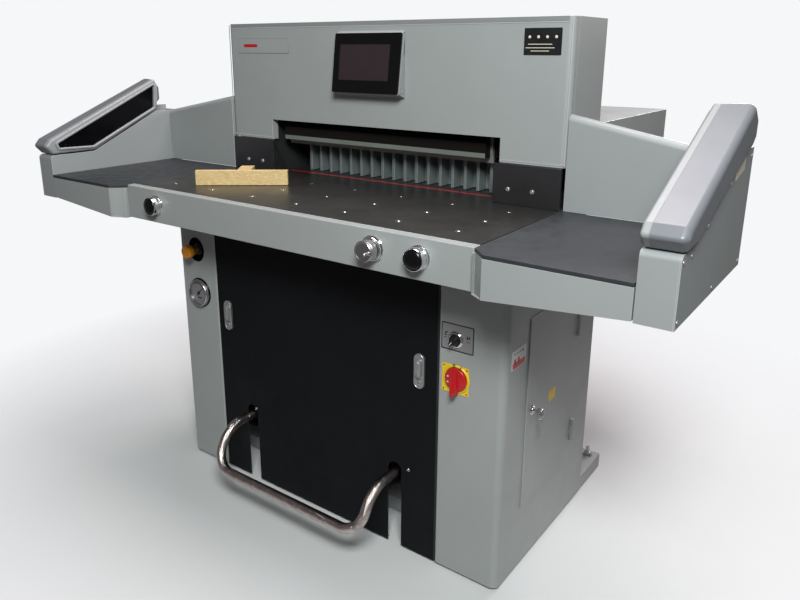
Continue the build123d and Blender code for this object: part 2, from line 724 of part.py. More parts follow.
with BuildPart() as side_boards:
    with BuildSketch(Plane.XY.offset(tray_top)):
        with BuildLine():
            Polyline(*board_outline, close=True)
        make_face()
    extrude(amount=board_thickness)
    mirror(about=Plane.YZ)
side_boards.part.label = "side_boards"
export_step(side_boards.part, "parts/side_boards.step")

with BuildPart() as side_trays:
    front_profile(tray_profile, wing_front, wing_back)
    front_profile(tray_hollow, wing_front + sheet, wing_back - sheet, mode=Mode.SUBTRACT)
    with BuildSketch(Plane.XY.offset(700)):
        with BuildLine():
            Polyline(*corner_cut, close=True)
        make_face()
    extrude(amount=250, mode=Mode.SUBTRACT)
    with BuildSketch(Plane.XY.offset(table_top - tray_in_depth + 3.5)):
        with BuildLine():
            Polyline(*corner_face, close=True)
        make_face()
    extrude(amount=tray_in_depth - board_thickness - 3.5)
    mirror(about=Plane.YZ)
side_trays.part.label = "side_trays"
export_step(side_trays.part, "parts/side_trays.step")

# ================= side walls and light guards =================
inner_wall = ((wall_front, wall_bottom), (wall_front, wall_top), (front - 32, wall_top),
              (front + 209, 1066), (wall_back - sheet, 1066), (wall_back - sheet, wall_bottom))
outer_wall = ((wall_front, wall_bottom), (wall_front, wall_top), (front - 122, wall_top),
              (front + 238, 1081), (wall_back, 1081), (wall_back, wall_bottom))
frame_outline = ((front - 168, 960), (front - 28, 960), (front + 210, 1070), (front + 222, 1104),
                 (front + 224, 1150), (front + 212, 1171), (front - 172, 1004), (guard_tip, 984))
shell_outline = ((front - 168, 959.5), (front - 122, 959.5), (front + 238, 1083.5), (front + 264, 1100),
                 (front + 264, 1142), (front + 222, 1171), (front - 172, 1004), (guard_tip, 984))
window_outline = ((front - 152, 991), (front + 206, 1151), (front + 200, 1079), (front - 34, 974),
                  (front - 148, 978))
guard_seam = 900.0
shell_full = 936.0
wall_nose = 12.0
window_depth = 12.0


def side_wall(part_name):
    """Sheet casing beside the side table: inner wall, front bent over into a ledge, floor and rear."""
    with BuildPart() as wall:
        side_profile(inner_wall, wall_in, wall_in + sheet, nose=wall_nose)
        with BuildSketch(Plane.YZ.offset(wall_in)) as front_sheet:
            with BuildLine():
                FilletPolyline((wall_front + sheet / 2, wall_bottom),
                               (wall_front + sheet / 2, wall_top - sheet / 2),
                               (front - 124, wall_top - sheet / 2), radius=wall_nose - sheet / 2)
            trace(line_width=sheet)
        extrude(front_sheet.sketch, amount=wall_out - sheet - wall_in)
        block(wall_in, wall_out - sheet, wall_front, wall_back, wall_bottom, wall_bottom + sheet)
        block(wall_in, wall_out - sheet, wall_back - sheet, wall_back, wall_bottom, 1066)
        if part_name.startswith("left"):
            mirror(about=Plane.YZ, mode=Mode.REPLACE)
    wall.part.label = part_name
    return wall.part


for name in ("right_side_wall", "left_side_wall"):
    export_step(side_wall(name), "parts/" + name + ".step")

with BuildPart() as outer_panels:
    side_profile(outer_wall, wall_out - sheet, wall_out, nose=wall_nose)
    mirror(about=Plane.YZ)
outer_panels.part.label = "outer_panels"
export_step(outer_panels.part, "parts/outer_panels.step")

back_wall_outline = ((half_head + 1, table_top), (half_head + 1, 1126), (wing_out, 1067),
                     (wing_out, table_top))

with BuildPart() as back_walls:
    with BuildSketch(Plane.XZ.offset(-wing_back)):
        with BuildLine():
            Polyline(*back_wall_outline, close=True)
        make_face()
    extrude(amount=-22)
    fillet(back_walls.faces().sort_by(Axis.Y)[0].edges().sort_by(Axis.Z)[-1], radius=14)
    mirror(about=Plane.YZ)
back_walls.part.label = "back_walls"
export_step(back_walls.part, "parts/back_walls.step")

with BuildPart() as guard_frames:
    side_profile(frame_outline, wall_in - 1, guard_seam, radius=8)
    fillet(guard_frames.faces().sort_by(Axis.X)[0].edges(), radius=7)
    side_profile(window_outline, wall_in - 2, wall_in + window_depth, radius=3, mode=Mode.SUBTRACT)
    mirror(about=Plane.YZ)
guard_frames.part.label = "guard_frames"
export_step(guard_frames.part, "parts/guard_frames.step")

with BuildPart() as guard_shells:
    with BuildSketch(Plane.YZ.offset(guard_seam)) as guard_corners:
        with BuildLine():
            Polyline(*frame_outline, close=True)
        make_face()
        fillet(guard_corners.vertices(), radius=8)
    with BuildSketch(Plane.YZ.offset(shell_full)) as shell_corners:
        with BuildLine():
            Polyline(*shell_outline, close=True)
        make_face()
        fillet(shell_corners.vertices(), radius=8)
    loft()
    side_profile(shell_outline, shell_full, guard_out, radius=8)
    fillet(guard_shells.faces().sort_by(Axis.X)[-1].edges(), radius=14)
    mirror(about=Plane.YZ)
guard_shells.part.label = "guard_shells"
export_step(guard_shells.part, "parts/guard_shells.step")

with BuildPart() as guard_windows:
    side_profile(window_outline, wall_in + 3, wall_in + window_depth, radius=3)
    mirror(about=Plane.YZ)
guard_windows.part.label = "guard_windows"
export_step(guard_windows.part, "parts/guard_windows.step")

# ================= operator panel =================
panel_left = -118.0
panel_right = 107.0
panel_width = panel_right - panel_left
panel_height = 157.0
panel_tilt = 7.7
panel_plate = 4.0
panel_plane = Plane(origin=((panel_left + panel_right) / 2, front + 238.5, 1233), x_dir=(1, 0, 0),
                    z_dir=(0, -cos(radians(panel_tilt)), sin(radians(panel_tilt))))
screen_centre = (-7.0, 2.0)
screen_size = (167.0, 94.0)
housing_profile = ((head_front, 1143), (head_front, 1318), (front + 253.4, 1310.5), (front + 232.3, 1155.5))

with BuildPart() as hmi_housing:
    side_profile(housing_profile, panel_left + 2, panel_right - 2)
hmi_housing.part.label = "hmi_housing"
export_step(hmi_housing.part, "parts/hmi_housing.step")

with BuildPart() as hmi_bezel:
    with BuildSketch(panel_plane):
        RectangleRounded(panel_width, panel_height, 5)
        with Locations(screen_centre):
            Rectangle(*screen_size, mode=Mode.SUBTRACT)
    extrude(amount=-panel_plate)
hmi_bezel.part.label = "hmi_bezel"
export_step(hmi_bezel.part, "parts/hmi_bezel.step")

with BuildPart() as hmi_screen:
    with BuildSketch(panel_plane.offset(-panel_plate)):
        with Locations(screen_centre):
            Rectangle(*screen_size)
    extrude(amount=panel_plate - 1)
hmi_screen.part.label = "hmi_screen"
export_step(hmi_screen.part, "parts/hmi_screen.step")

# ================= plates, gauge and cabinet controls =================
plate_thickness = 1.5
knob_gap = 0.4

with BuildPart() as control_plates:
    block(-523, -312, head_front - plate_thickness, head_front, 1257, 1299)
    block(443, 536, head_front - plate_thickness, head_front, 1257, 1317)
    block(selector_x - 43, selector_x + 43, front - plate_thickness, front, selector_z - 33, selector_z + 33)
    block(switch_x - 36, switch_x + 36, front - plate_thickness, front, switch_z - 34, switch_z + 34)
    for x, z in knob_places:
        rod_y(x, z, 5 + fit, front - 3, front + 3, Mode.SUBTRACT)
control_plates.part.label = "control_plates"
export_step(control_plates.part, "parts/control_plates.step")

case_radius = 45.0
case_bore = 38.0

with BuildPart() as gauge_case:
    rod_y(gauge_x, gauge_z, case_radius, front - 14, front)
    rod_y(gauge_x, gauge_z, gauge_hole - 1, front, front + 36)
    rod_y(gauge_x, gauge_z, case_bore, front - 15, front - 4, Mode.SUBTRACT)
    rod_y(gauge_x, gauge_z, 1.5 + fit, front - 10, front + 10, Mode.SUBTRACT)
    rod_y(gauge_x, gauge_z, 8, front + 36, front + 52)
gauge_case.part.label = "gauge_case"
export_step(gauge_case.part, "parts/gauge_case.step")

with BuildPart() as gauge_needle:
    rod_y(gauge_x, gauge_z, 1.5, front - 8, front + 8)
    rod_y(gauge_x, gauge_z, 4.5, front - 9, front - 7)
    with BuildSketch(Plane.XZ.offset(-front + 7)):
        with BuildLine():
            Polyline((gauge_x - 9, gauge_z - 7), (gauge_x + 23, gauge_z + 23), (gauge_x - 7, gauge_z - 9),
                     close=True)
        make_face()
    extrude(amount=1.5)
gauge_needle.part.label = "gauge_needle"
export_step(gauge_needle.part, "parts/gauge_needle.step")

with BuildPart() as pressure_knob:
    rod_y(pressure_x, pressure_z, 20, front - 40, front - 20)
    rod_y(pressure_x, pressure_z, 14, front - 20, front - 2)
    rod_y(pressure_x, pressure_z, 6, front - 2, front + 30)
    for step in range(8):
        angle = radians(45 * step)
        x = pressure_x + 22 * cos(angle)
        rod_y(x, pressure_z + 22 * sin(angle), 4, front - 41, front - 24, Mode.SUBTRACT)
pressure_knob.part.label = "pressure_knob"
export_step(pressure_knob.part, "parts/pressure_knob.step")

with BuildPart() as selector_knob:
    rod_y(selector_x - 4, selector_z - 5, 15, front - 9, front - plate_thickness - knob_gap)
    rod_y(selector_x - 4, selector_z - 5, 5, front - 3, front + 20)
    block(selector_x - 8, selector_x, front - 20, front - 9, selector_z - 19, selector_z + 9)
selector_knob.part.label = "selector_knob"
export_step(selector_knob.part, "parts/selector_knob.step")

with BuildPart() as main_switch_knob:
    rod_y(switch_x + 4, switch_z + 2, 29, front - 10, front - plate_thickness - knob_gap)
    rod_y(switch_x + 4, switch_z + 2, 5, front - 3, front + 20)
    block(switch_x - 5, switch_x + 13, front - 28, front - 10, switch_z - 36, switch_z + 28)
main_switch_knob.part.label = "main_switch_knob"
export_step(main_switch_knob.part, "parts/main_switch_knob.step")

# ================= hydraulic unit and fasteners =================
with BuildPart() as hydraulic_unit:
    block(-380, -20, front + 180, front + 430, foot_height, 270)
    rod_z(-250, front + 300, 75, 270, 500)
    rod_z(-110, front + 300, 40, 270, 330)
    block(-170, -50, front + 260, front + 340, 330, 390)
    block(pressure_x - 30, pressure_x + 38, front + 12, front + 56, pressure_z - 34, pressure_z + 34)
    rod_y(pressure_x, pressure_z, 6 + fit, front + 10, front + 44, Mode.SUBTRACT)
hydraulic_unit.part.label = "hydraulic_unit"
export_step(hydraulic_unit.part, "parts/hydraulic_unit.step")

side_screws = ((front - 168, 944), (front - 168, 842), (front + 60, 842), (front + 284, 842),
               (front + 284, 1064), (front + 120, 1028), (front - 28, 976), (front - 120, 944))
plate_screws = ((-495, 932), (-432, 932), (422, 938), (487, 938))
cap_height = 3.0

with BuildPart() as panel_screws:
    for x0, x1 in ((wall_out, wall_out + cap_height), (-wall_out - cap_height, -wall_out)):
        for y, z in side_screws:
            rod_x(y, z, 5, x0, x1)
    for x, z in plate_screws:
        rod_y(x, z, 6, front + 258 - cap_height, front + 258)
    for x in (panel_right - 2, panel_left + 2 - cap_height):
        rod_x(front + 251, 1258, 4, x, x + cap_height)
        rod_x(front + 251, 1160, 4, x, x + cap_height)
panel_screws.part.label = "panel_screws"
export_step(panel_screws.part, "parts/panel_screws.step")

# ================= paper pusher =================
pusher_left = Vector(-395, front - 38, 0)
pusher_turn = 37.7
pusher_length = 257.0
pusher_floor = table_top + 1.3
pusher_plane = Plane(origin=(pusher_left.X, pusher_left.Y, pusher_floor),
                     x_dir=(cos(radians(pusher_turn)), sin(radians(pusher_turn)), 0), z_dir=(0, 0, 1))

with BuildPart() as paper_pusher:
    with BuildSketch(pusher_plane):
        with Locations((pusher_length / 2, 11)):
            Rectangle(pusher_length, 22)
    extrude(amount=40)
    with BuildSketch(pusher_plane.offset(8)):
        with Locations((pusher_length / 2, 72)):
            Rectangle(38, 100)
    extrude(amount=28)
    fillet(paper_pusher.edges().filter_by(Axis.Z), radius=2)
paper_pusher.part.label = "paper_pusher"
export_step(paper_pusher.part, "parts/paper_pusher.step")
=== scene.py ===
import bmesh
import bpy
import json
from math import cos, pi, radians, sin
from mathutils import Matrix, Vector
from mathutils.geometry import convex_hull_2d


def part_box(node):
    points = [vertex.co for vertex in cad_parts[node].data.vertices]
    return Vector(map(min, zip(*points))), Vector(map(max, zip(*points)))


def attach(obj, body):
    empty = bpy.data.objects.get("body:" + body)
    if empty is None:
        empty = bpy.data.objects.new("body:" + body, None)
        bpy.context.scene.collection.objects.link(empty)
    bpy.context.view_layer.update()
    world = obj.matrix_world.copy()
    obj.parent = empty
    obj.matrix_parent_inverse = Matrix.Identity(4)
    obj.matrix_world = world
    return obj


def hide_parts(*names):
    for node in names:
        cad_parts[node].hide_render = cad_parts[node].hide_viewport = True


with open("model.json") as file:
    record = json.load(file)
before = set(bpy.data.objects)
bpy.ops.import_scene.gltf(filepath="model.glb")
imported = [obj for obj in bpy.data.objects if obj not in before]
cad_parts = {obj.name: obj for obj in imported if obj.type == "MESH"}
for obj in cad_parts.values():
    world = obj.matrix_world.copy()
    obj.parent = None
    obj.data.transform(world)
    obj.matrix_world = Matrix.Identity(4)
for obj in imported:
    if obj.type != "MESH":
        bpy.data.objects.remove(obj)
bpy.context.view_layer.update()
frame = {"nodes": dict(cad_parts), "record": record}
nodes = frame["nodes"]
bodies = frame["record"]["behaviour"]["bodies"]
body_of = {node: body for body, members in bodies.items() for node in members}
mm = 0.001


# ================= camera, lights and floor =================
camera_place = Vector((1.2262, -1.7351, 1.2687))
camera_yaw = 0.629
camera_pitch = -0.277
camera_roll = 0.003
camera_lens = 32.51
camera_shift = (0.0094, -0.0566)


def make_camera():
    data = bpy.data.cameras.new("camera")
    data.lens = camera_lens
    data.sensor_width = 36.0
    data.shift_x, data.shift_y = camera_shift
    camera = bpy.data.objects.new("camera", data)
    turn = (Matrix.Rotation(camera_yaw, 4, "Z") @ Matrix.Rotation(pi / 2 + camera_pitch, 4,
        "X") @ Matrix.Rotation(camera_roll, 4, "Z"))
    camera.matrix_world = Matrix.Translation(camera_place) @ turn
    bpy.context.scene.collection.objects.link(camera)
    bpy.context.scene.camera = camera


def area_light(name, place, target, size, power, colour):
    data = bpy.data.lights.new(name, "AREA")
    data.shape = "RECTANGLE"
    data.size, data.size_y = size
    data.energy = power
    data.color = colour
    light = bpy.data.objects.new(name, data)
    light.location = place
    aim = Vector(target) - Vector(place)
    light.rotation_euler = aim.to_track_quat("-Z", "Y").to_euler()
    bpy.context.scene.collection.objects.link(light)


cool_white = (0.94, 1.0, 0.99)
warm_white = (1.0, 0.95, 0.97)
backdrop_white = (0.97, 0.98, 1.0)


def make_lights():
    """A soft key light at the right front, wide ceiling and rear lights, a dim room, a white backdrop."""
    area_light("key", (1.5, -2.05, 2.5), (0.15, -0.2, 0.95), (0.9, 0.7), 96, cool_white)
    area_light("ceiling", (0.2, 0.3, 3.5), (0.2, 0, 0.8), (2.0, 1.5), 78, (1.0, 0.93, 0.95))
    area_light("rear", (0.8, 3.4, 2.3), (0, 0.3, 0.7), (1.6, 1.2), 75, warm_white)
    world = bpy.data.worlds.new("world")
    world.use_nodes = True
    tree = world.node_tree
    room = tree.nodes["Background"]
    room.inputs["Color"].default_value = (*warm_white, 1)
    room.inputs["Strength"].default_value = 0.12
    backdrop = tree.nodes.new("ShaderNodeBackground")
    backdrop.inputs["Color"].default_value = (*backdrop_white, 1)
    backdrop.inputs["Strength"].default_value = 0.95
    path = tree.nodes.new("ShaderNodeLightPath")
    either = tree.nodes.new("ShaderNodeMixShader")
    tree.links.new(path.outputs["Is Camera Ray"], either.inputs[0])
    tree.links.new(room.outputs[0], either.inputs[1])
    tree.links.new(backdrop.outputs[0], either.inputs[2])
    tree.links.new(either.outputs[0], tree.nodes["World Output"].inputs["Surface"])
    bpy.context.scene.world = world
    bpy.context.scene.view_settings.view_transform = "Standard"


def make_floor(material):
    mesh = bpy.data.meshes.new("floor")
    floor = bpy.data.objects.new("floor", mesh)
    work = bmesh.new()
    bmesh.ops.create_grid(work, x_segments=8, y_segments=8, size=9)
    work.to_mesh(mesh)
    work.free()
    mesh.materials.append(material)
    bpy.context.scene.collection.objects.link(floor)


def new_material(name, colour, roughness, metallic=0.0, slot=None, **sockets):
    """A Principled material with its uniform values set on the shader's own sockets."""
    material = bpy.data.materials.new(name)
    material.use_nodes = True
    shader = material.node_tree.nodes["Principled BSDF"]
    shader.inputs["Base Color"].default_value = (*colour, 1)
    shader.inputs["Roughness"].default_value = roughness
    shader.inputs["Metallic"].default_value = metallic
    for socket, value in sockets.items():
        shader.inputs[socket.replace("_", " ")].default_value = value
    return material


def add_node(material, kind, **values):
    node = material.node_tree.nodes.new("ShaderNode" + kind)
    for key, value in values.items():
        if key in node.inputs:
            node.inputs[key].default_value = value
        else:
            setattr(node, key, value)
    return node


def join(material, source, target):
    material.node_tree.links.new(source, target)


def feed(material, socket, source):
    """Link a source to an input of the material's shader."""
    join(material, source, material.node_tree.nodes["Principled BSDF"].inputs[socket])


def object_point(material, stretch=(1, 1, 1), turn=(0, 0, 0)):
    """Object coordinates, scaled and turned."""
    place = add_node(material, "TexCoord")
    mapping = add_node(material, "Mapping")
    mapping.inputs["Scale"].default_value = stretch
    mapping.inputs["Rotation"].default_value = turn
    join(material, place.outputs["Object"], mapping.inputs["Vector"])
    return mapping.outputs["Vector"]


def noise(material, scale, detail=3.0, roughness=0.55, stretch=(1, 1, 1), turn=(0, 0, 0), distortion=0.0):
    node = add_node(material, "TexNoise", Scale=scale, Detail=detail, Roughness=roughness,
        Distortion=distortion)
    join(material, object_point(material, stretch, turn), node.inputs["Vector"])
    return node.outputs["Fac"]


def ramp(material, source, low, high, dark, light):
    """Map a grey source to a colour between dark and light."""
    node = add_node(material, "ValToRGB")
    node.color_ramp.elements[0].position = low
    node.color_ramp.elements[1].position = high
    node.color_ramp.elements[0].color = (*dark, 1)
    node.color_ramp.elements[1].color = (*light, 1)
    join(material, source, node.inputs["Fac"])
    return node.outputs["Color"]


def span(material, source, low, high, out_low, out_high):
    node = add_node(material, "MapRange")
    node.inputs["From Min"].default_value = low
    node.inputs["From Max"].default_value = high
    node.inputs["To Min"].default_value = out_low
    node.inputs["To Max"].default_value = out_high
    join(material, source, node.inputs["Value"])
    return node.outputs["Result"]


def mix(material, factor, first, second_colour):
    """Lay a plain colour over a colour socket, by a factor socket."""
    node = add_node(material, "Mix", data_type="RGBA")
    join(material, factor, node.inputs[0])
    join(material, first, node.inputs[6])
    node.inputs[7].default_value = (*second_colour, 1)
    return node.outputs[2]


def bump(material, height, strength, distance, under=None):
    node = add_node(material, "Bump", Strength=strength, Distance=distance)
    join(material, height, node.inputs["Height"])
    if under:
        join(material, under, node.inputs["Normal"])
    return node.outputs["Normal"]


def tint(colour, factor):
    return tuple(min(1.0, c * factor) for c in colour)


def paint(name, colour, roughness, slot=None, peel=0.14, cloud=0.035, coat=0.0, peel_scale=420, dirt=0.06,
        specular=0.5, wave=0.08):
    """Powder coat: orange peel, a cloudy shade, fine specks and a little handling dirt."""
    m = new_material(name, colour, roughness, slot=slot, Coat_Weight=coat, Coat_Roughness=0.25,
        Specular_IOR_Level=specular)
    shade = ramp(m, noise(m, 3.2, 4), 0.3, 0.7, tint(colour, 1 - cloud), tint(colour, 1 + cloud))
    specks = span(m, noise(m, 1400, 2), 0.64, 0.8, 0, 0.4)
    shade = mix(m, specks, shade, tint(colour, 1.25))
    grime = span(m, noise(m, 17, 6, 0.7), 0.55, 0.78, 0, dirt)
    shade = mix(m, grime, shade, tint(colour, 0.55))
    feed(m, "Base Color", shade)
    rub = span(m, noise(m, 11, 5, 0.6), 0.3, 0.7, roughness * 0.85, roughness * 1.15)
    feed(m, "Roughness", rub)
    fine = bump(m, noise(m, peel_scale, 3), peel, 0.0006)
    feed(m, "Normal", bump(m, noise(m, 9, 2), wave, 0.004, fine))
    return m


def ground_steel(name, colour, roughness, slot=None, streak=(1.2, 60, 60), metallic=1.0,
        stain=0.12, depth=0.06):
    """Ground or brushed metal: fine streaks along one direction, faint stains and changing gloss."""
    m = new_material(name, colour, roughness, metallic, slot)
    lines = noise(m, 26, 6, 0.7, streak)
    shade = ramp(m, lines, 0.3, 0.72, tint(colour, 0.86), tint(colour, 1.14))
    clouds = span(m, noise(m, 4.5, 5, 0.62), 0.4, 0.7, 0, stain)
    shade = mix(m, clouds, shade, tint(colour, 0.6))
    feed(m, "Base Color", shade)
    rub = span(m, noise(m, 7, 6, 0.7), 0.3, 0.72, roughness * 0.8, roughness * 1.25)
    feed(m, "Roughness", rub)
    feed(m, "Normal", bump(m, lines, depth, 0.0004))
    return m


def plastic(name, colour, roughness, slot=None, grain=900, depth=0.08, coat=0.0, **sockets):
    """Moulded plastic: fine spark-eroded grain and slight mould shading."""
    m = new_material(name, colour, roughness, slot=slot, Coat_Weight=coat, Coat_Roughness=0.08, **sockets)
    shade = ramp(m, noise(m, 14, 4), 0.3, 0.7, tint(colour, 0.9), tint(colour, 1.1))
    feed(m, "Base Color", shade)
    rub = span(m, noise(m, 30, 5), 0.3, 0.7, roughness * 0.8, min(1, roughness * 1.25))
    feed(m, "Roughness", rub)
    feed(m, "Normal", bump(m, noise(m, grain, 2), depth, 0.0003))
    return m


def chrome_like(name, colour, roughness, slot="chrome", ripple=0.05, ripple_scale=140,
        tarnish=0.86, depth=0.0012):
    """Bright plating with faint haze, finger marks and tiny pits."""
    m = new_material(name, colour, roughness, 1.0, slot)
    haze = span(m, noise(m, 36, 6, 0.7), 0.35, 0.75, roughness * 0.6, roughness * 2.2)
    feed(m, "Roughness", haze)
    shade = ramp(m, noise(m, 60, 5), 0.3, 0.75, tint(colour, tarnish), colour)
    feed(m, "Base Color", shade)
    feed(m, "Normal", bump(m, noise(m, ripple_scale, 4), ripple, depth))
    return m


def beech(name, grain_turn):
    """Pale wood: long growth bands with fine pores along the piece."""
    turn = (0, 0, -grain_turn)
    m = new_material(name, (0.72, 0.52, 0.28), 0.5, slot="wood")
    bands = noise(m, 9, 5, 0.6, (1.5, 14, 26), turn, 0.6)
    shade = ramp(m, bands, 0.3, 0.72, (0.52, 0.34, 0.14), (0.74, 0.56, 0.29))
    pores = span(m, noise(m, 60, 3, 0.6, (1.0, 22, 22), turn), 0.58, 0.72, 0, 0.4)
    shade = mix(m, pores, shade, (0.38, 0.24, 0.10))
    feed(m, "Base Color", shade)
    feed(m, "Roughness", span(m, bands, 0.3, 0.7, 0.42, 0.6))
    feed(m, "Normal", bump(m, pores, 0.3, 0.0004))
    return m


paint_colour = (0.300, 0.310, 0.307)
wall_colour = (0.285, 0.297, 0.296)
ring_colour = (0.27, 0.275, 0.28)
shell_colour = (0.165, 0.17, 0.185)
light_paint = paint("light_paint", paint_colour, 0.42, "light_paint")
# a lighter copy of the light paint for bevel faces and edge lines: painted highlight along lit edges
edge_highlight_paint = paint("light_paint_edge_highlight", tint(paint_colour, 1.3), 0.32, "light_paint", cloud=0.12, dirt=0.2)
# a darker copy of the light paint: painted shade for the head's top band and the guard joint, and the
# nameplate's darker frame line
shade_and_trim_paint = paint("light_paint_shade_and_trim", tint(paint_colour, 0.72), 0.45, "light_paint")
wall_paint = paint("wall_paint", wall_colour, 0.45, "light_paint")
charcoal = paint("charcoal_paint", (0.0055, 0.0058, 0.0070), 0.55, "charcoal_paint", 0.3, 0.12, 0.0,
    700, 0.0, specular=0.1)
# a lighter copy of the charcoal paint for the door's bevel faces: painted highlight along its edges
charcoal_edge_highlight = paint("charcoal_paint_edge_highlight", (0.018, 0.019, 0.022), 0.42, "charcoal_paint",
    0.3, 0.2, specular=0.3)
frame_paint = paint("frame_paint", (0.022, 0.022, 0.023), 0.5, "frame_paint", 0.3, specular=0.2)
knife_paint = paint("knife_paint", (0.0075, 0.006, 0.005), 0.45, "knife_steel", 0.25, 0.12, specular=0.15)
shell_plastic = paint("shell_plastic", shell_colour, 0.36, "guard_shell", 0.1, 0.05,
    0.1, 620, 0.12, wave=0.0)
ring_plastic = paint("ring_plastic", ring_colour, 0.42, "guard_shell", 0.1, 0.03, 0.05, 620, 0.02, wave=0.0)
cream = paint("cream_label", (0.62, 0.56, 0.44), 0.5, None, 0.1, 0.06)
light_strip = paint("light_strip", (0.14, 0.15, 0.135), 0.4, "knife_steel", 0.2, 0.15, dirt=0.3)
table_steel = ground_steel("table_steel", (0.082, 0.078, 0.074), 0.36, "table_steel",
    (60, 1.2, 60), 0.8, 0.1, 0.03)
board = plastic("board_laminate", (0.025, 0.027, 0.031), 0.5, "board", 1200, 0.25)
plate_steel = ground_steel("plate_steel", (0.125, 0.122, 0.13), 0.3, "plate_steel", (1.2, 60, 60), 0.9, 0.3)
bright_steel = ground_steel("bright_steel", (0.55, 0.55, 0.54), 0.26, "plate_steel")
edge_steel = ground_steel("edge_steel", (0.30, 0.31, 0.30), 0.4, "knife_steel", metallic=0.35)
fin_metal = ground_steel("fin_metal", (0.17, 0.195, 0.195), 0.42, "plate_steel", (60, 60, 1.2), 0.25)
# a lighter copy of the fin metal for the fins' bevel faces: painted highlight along their edges
fin_edge_highlight = ground_steel("fin_edge_highlight", (0.40, 0.45, 0.45), 0.35, "plate_steel", metallic=0.3)
silver = ground_steel("silver", (0.50, 0.49, 0.485), 0.28, "silver")
satin_plate = ground_steel("satin_plate", (0.35, 0.34, 0.34), 0.36, "silver", metallic=0.6)
chrome = chrome_like("chrome", (0.84, 0.84, 0.85), 0.07)
pedal_chrome = chrome_like("pedal_chrome", (0.80, 0.70, 0.66), 0.10, "chrome", 1.0, 380, 0.45, 0.0015)
black_plastic = plastic("black_plastic", (0.009, 0.009, 0.010), 0.36, "black_plastic")
black_gloss = plastic("black_gloss", (0.0035, 0.0035, 0.004), 0.2, "black_plastic", 300, 0.02, 0.0,
    Specular_IOR_Level=0.3)
# flat black for holes, slots, wells and openings: painted shade where light does not reach
painted_shade_black = plastic("painted_shade_black", (0.0025, 0.0025, 0.0025), 0.9, "black_plastic", 200, 0.1,
    Specular_IOR_Level=0.05)
window = plastic("window_black", (0.0022, 0.002, 0.003), 0.2, "dark_window", 200, 0.01, 0.0,
    Specular_IOR_Level=0.25)
amber = plastic("amber", (0.62, 0.22, 0.010), 0.28, "amber", 300, 0.04, 0.2)
brown = plastic("brown_collar", (0.20, 0.085, 0.010), 0.35, "amber", 300, 0.04)
red = plastic("red_plastic", (0.46, 0.008, 0.012), 0.30, "red_plastic", 500, 0.05, 0.1)
yellow = plastic("yellow_plastic", (0.76, 0.50, 0.015), 0.4, None, 500, 0.06)
white = plastic("white_print", (0.62, 0.62, 0.60), 0.5, None, 500, 0.05)
dial = plastic("dial_face", (0.17, 0.16, 0.17), 0.4, None, 300, 0.03, 0.15)
rubber = plastic("rubber", (0.018, 0.018, 0.019), 0.72, "rubber", 500, 0.3)
screen = plastic("screen", (0.026, 0.017, 0.020), 0.14, "screen", 200, 0.01, 0.1)
pusher_turn = radians(37.7)
wood = beech("beech", pusher_turn)
floor_material = paint("floor", (0.62, 0.62, 0.62), 0.7, None, 0.02, 0.01, dirt=0.01, specular=0.2)
reach = add_node(floor_material, "VectorMath", operation="LENGTH")
join(floor_material, object_point(floor_material), reach.inputs[0])
fade_start, fade_end = 0.7, 1.9
fade = span(floor_material, reach.outputs["Value"], fade_start, fade_end, 1, 0)
feed(floor_material, "Alpha", fade)

clad = (
    (light_paint, "base_frame left_column_cover right_cabinet_cover rear_panel access_door front_bar "
                  "head_front_cover head_rear_cover rear_table_cover side_trays"),
    (bright_steel, "levelling_bolts backgauge_rails leadscrew panel_screws"),
    (frame_paint, "side_frames uprights head_crossbeam knife_cylinder clamp_cylinder hydraulic_unit"),
    (charcoal, "front_door"),
    (satin_plate, "left_latch_handle right_latch_handle control_plates"),
    (pedal_chrome, "pedal"),
    (chrome, "access_lock air_balls bar_fittings gauge_case"),
    (table_steel, "main_table rear_table"),
    (red, "cutting_stick main_switch_knob"),
    (black_gloss, "left_push_button right_push_button hmi_bezel"),
    (silver, "handwheel motor_pulley"),
    (plate_steel, "steel_plates side_guides"),
    (knife_paint, "knife_carrier clamp_beam"),
    (edge_steel, "knife"),
    (fin_metal, "backgauge"),
    (black_plastic, "backgauge_motor gauge_needle selector_knob"),
    (rubber, "drive_belt"),
    (board, "side_boards"),
    (wall_paint, "left_side_wall right_side_wall outer_panels back_walls"),
    (ring_plastic, "guard_frames hmi_housing"),
    (shell_plastic, "guard_shells"),
    (window, "guard_windows"),
    (screen, "hmi_screen"),
    (amber, "pressure_knob"),
    (wood, "paper_pusher"),
)
node_material = {node: material for material, names in clad for node in names.split()}
# the bevel faces of these materials take the lighter copy, a painted edge highlight
edge_highlight_material = {light_paint: edge_highlight_paint, wall_paint: edge_highlight_paint,
    charcoal: charcoal_edge_highlight, fin_metal: fin_edge_highlight}


# ================= mesh helpers =================
def finish_mesh(piece, sharp):
    mesh = piece.data
    mesh.polygons.foreach_set("use_smooth", [True] * len(mesh.polygons))
    mesh.set_sharp_from_angle(angle=radians(sharp))


def apply_modifiers(piece):
    graph = bpy.context.evaluated_depsgraph_get()
    mesh = bpy.data.meshes.new_from_object(piece.evaluated_get(graph), depsgraph=graph)
    piece.modifiers.clear()
    piece.data = mesh


def add_piece(name, work, material, body, replaces=(), sharp=35):
    """Turn a bmesh into a piece that rides on a body, and may stand for CAD nodes."""
    mesh = bpy.data.meshes.new(name)
    bmesh.ops.remove_doubles(work, verts=work.verts, dist=1e-7)
    bmesh.ops.recalc_face_normals(work, faces=work.faces)
    work.to_mesh(mesh)
    work.free()
    piece = bpy.data.objects.new(name, mesh)
    bpy.context.scene.collection.objects.link(piece)
    mesh.materials.append(material)
    finish_mesh(piece, sharp)
    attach(piece, body)
    if replaces:
        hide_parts(*replaces)
    return piece


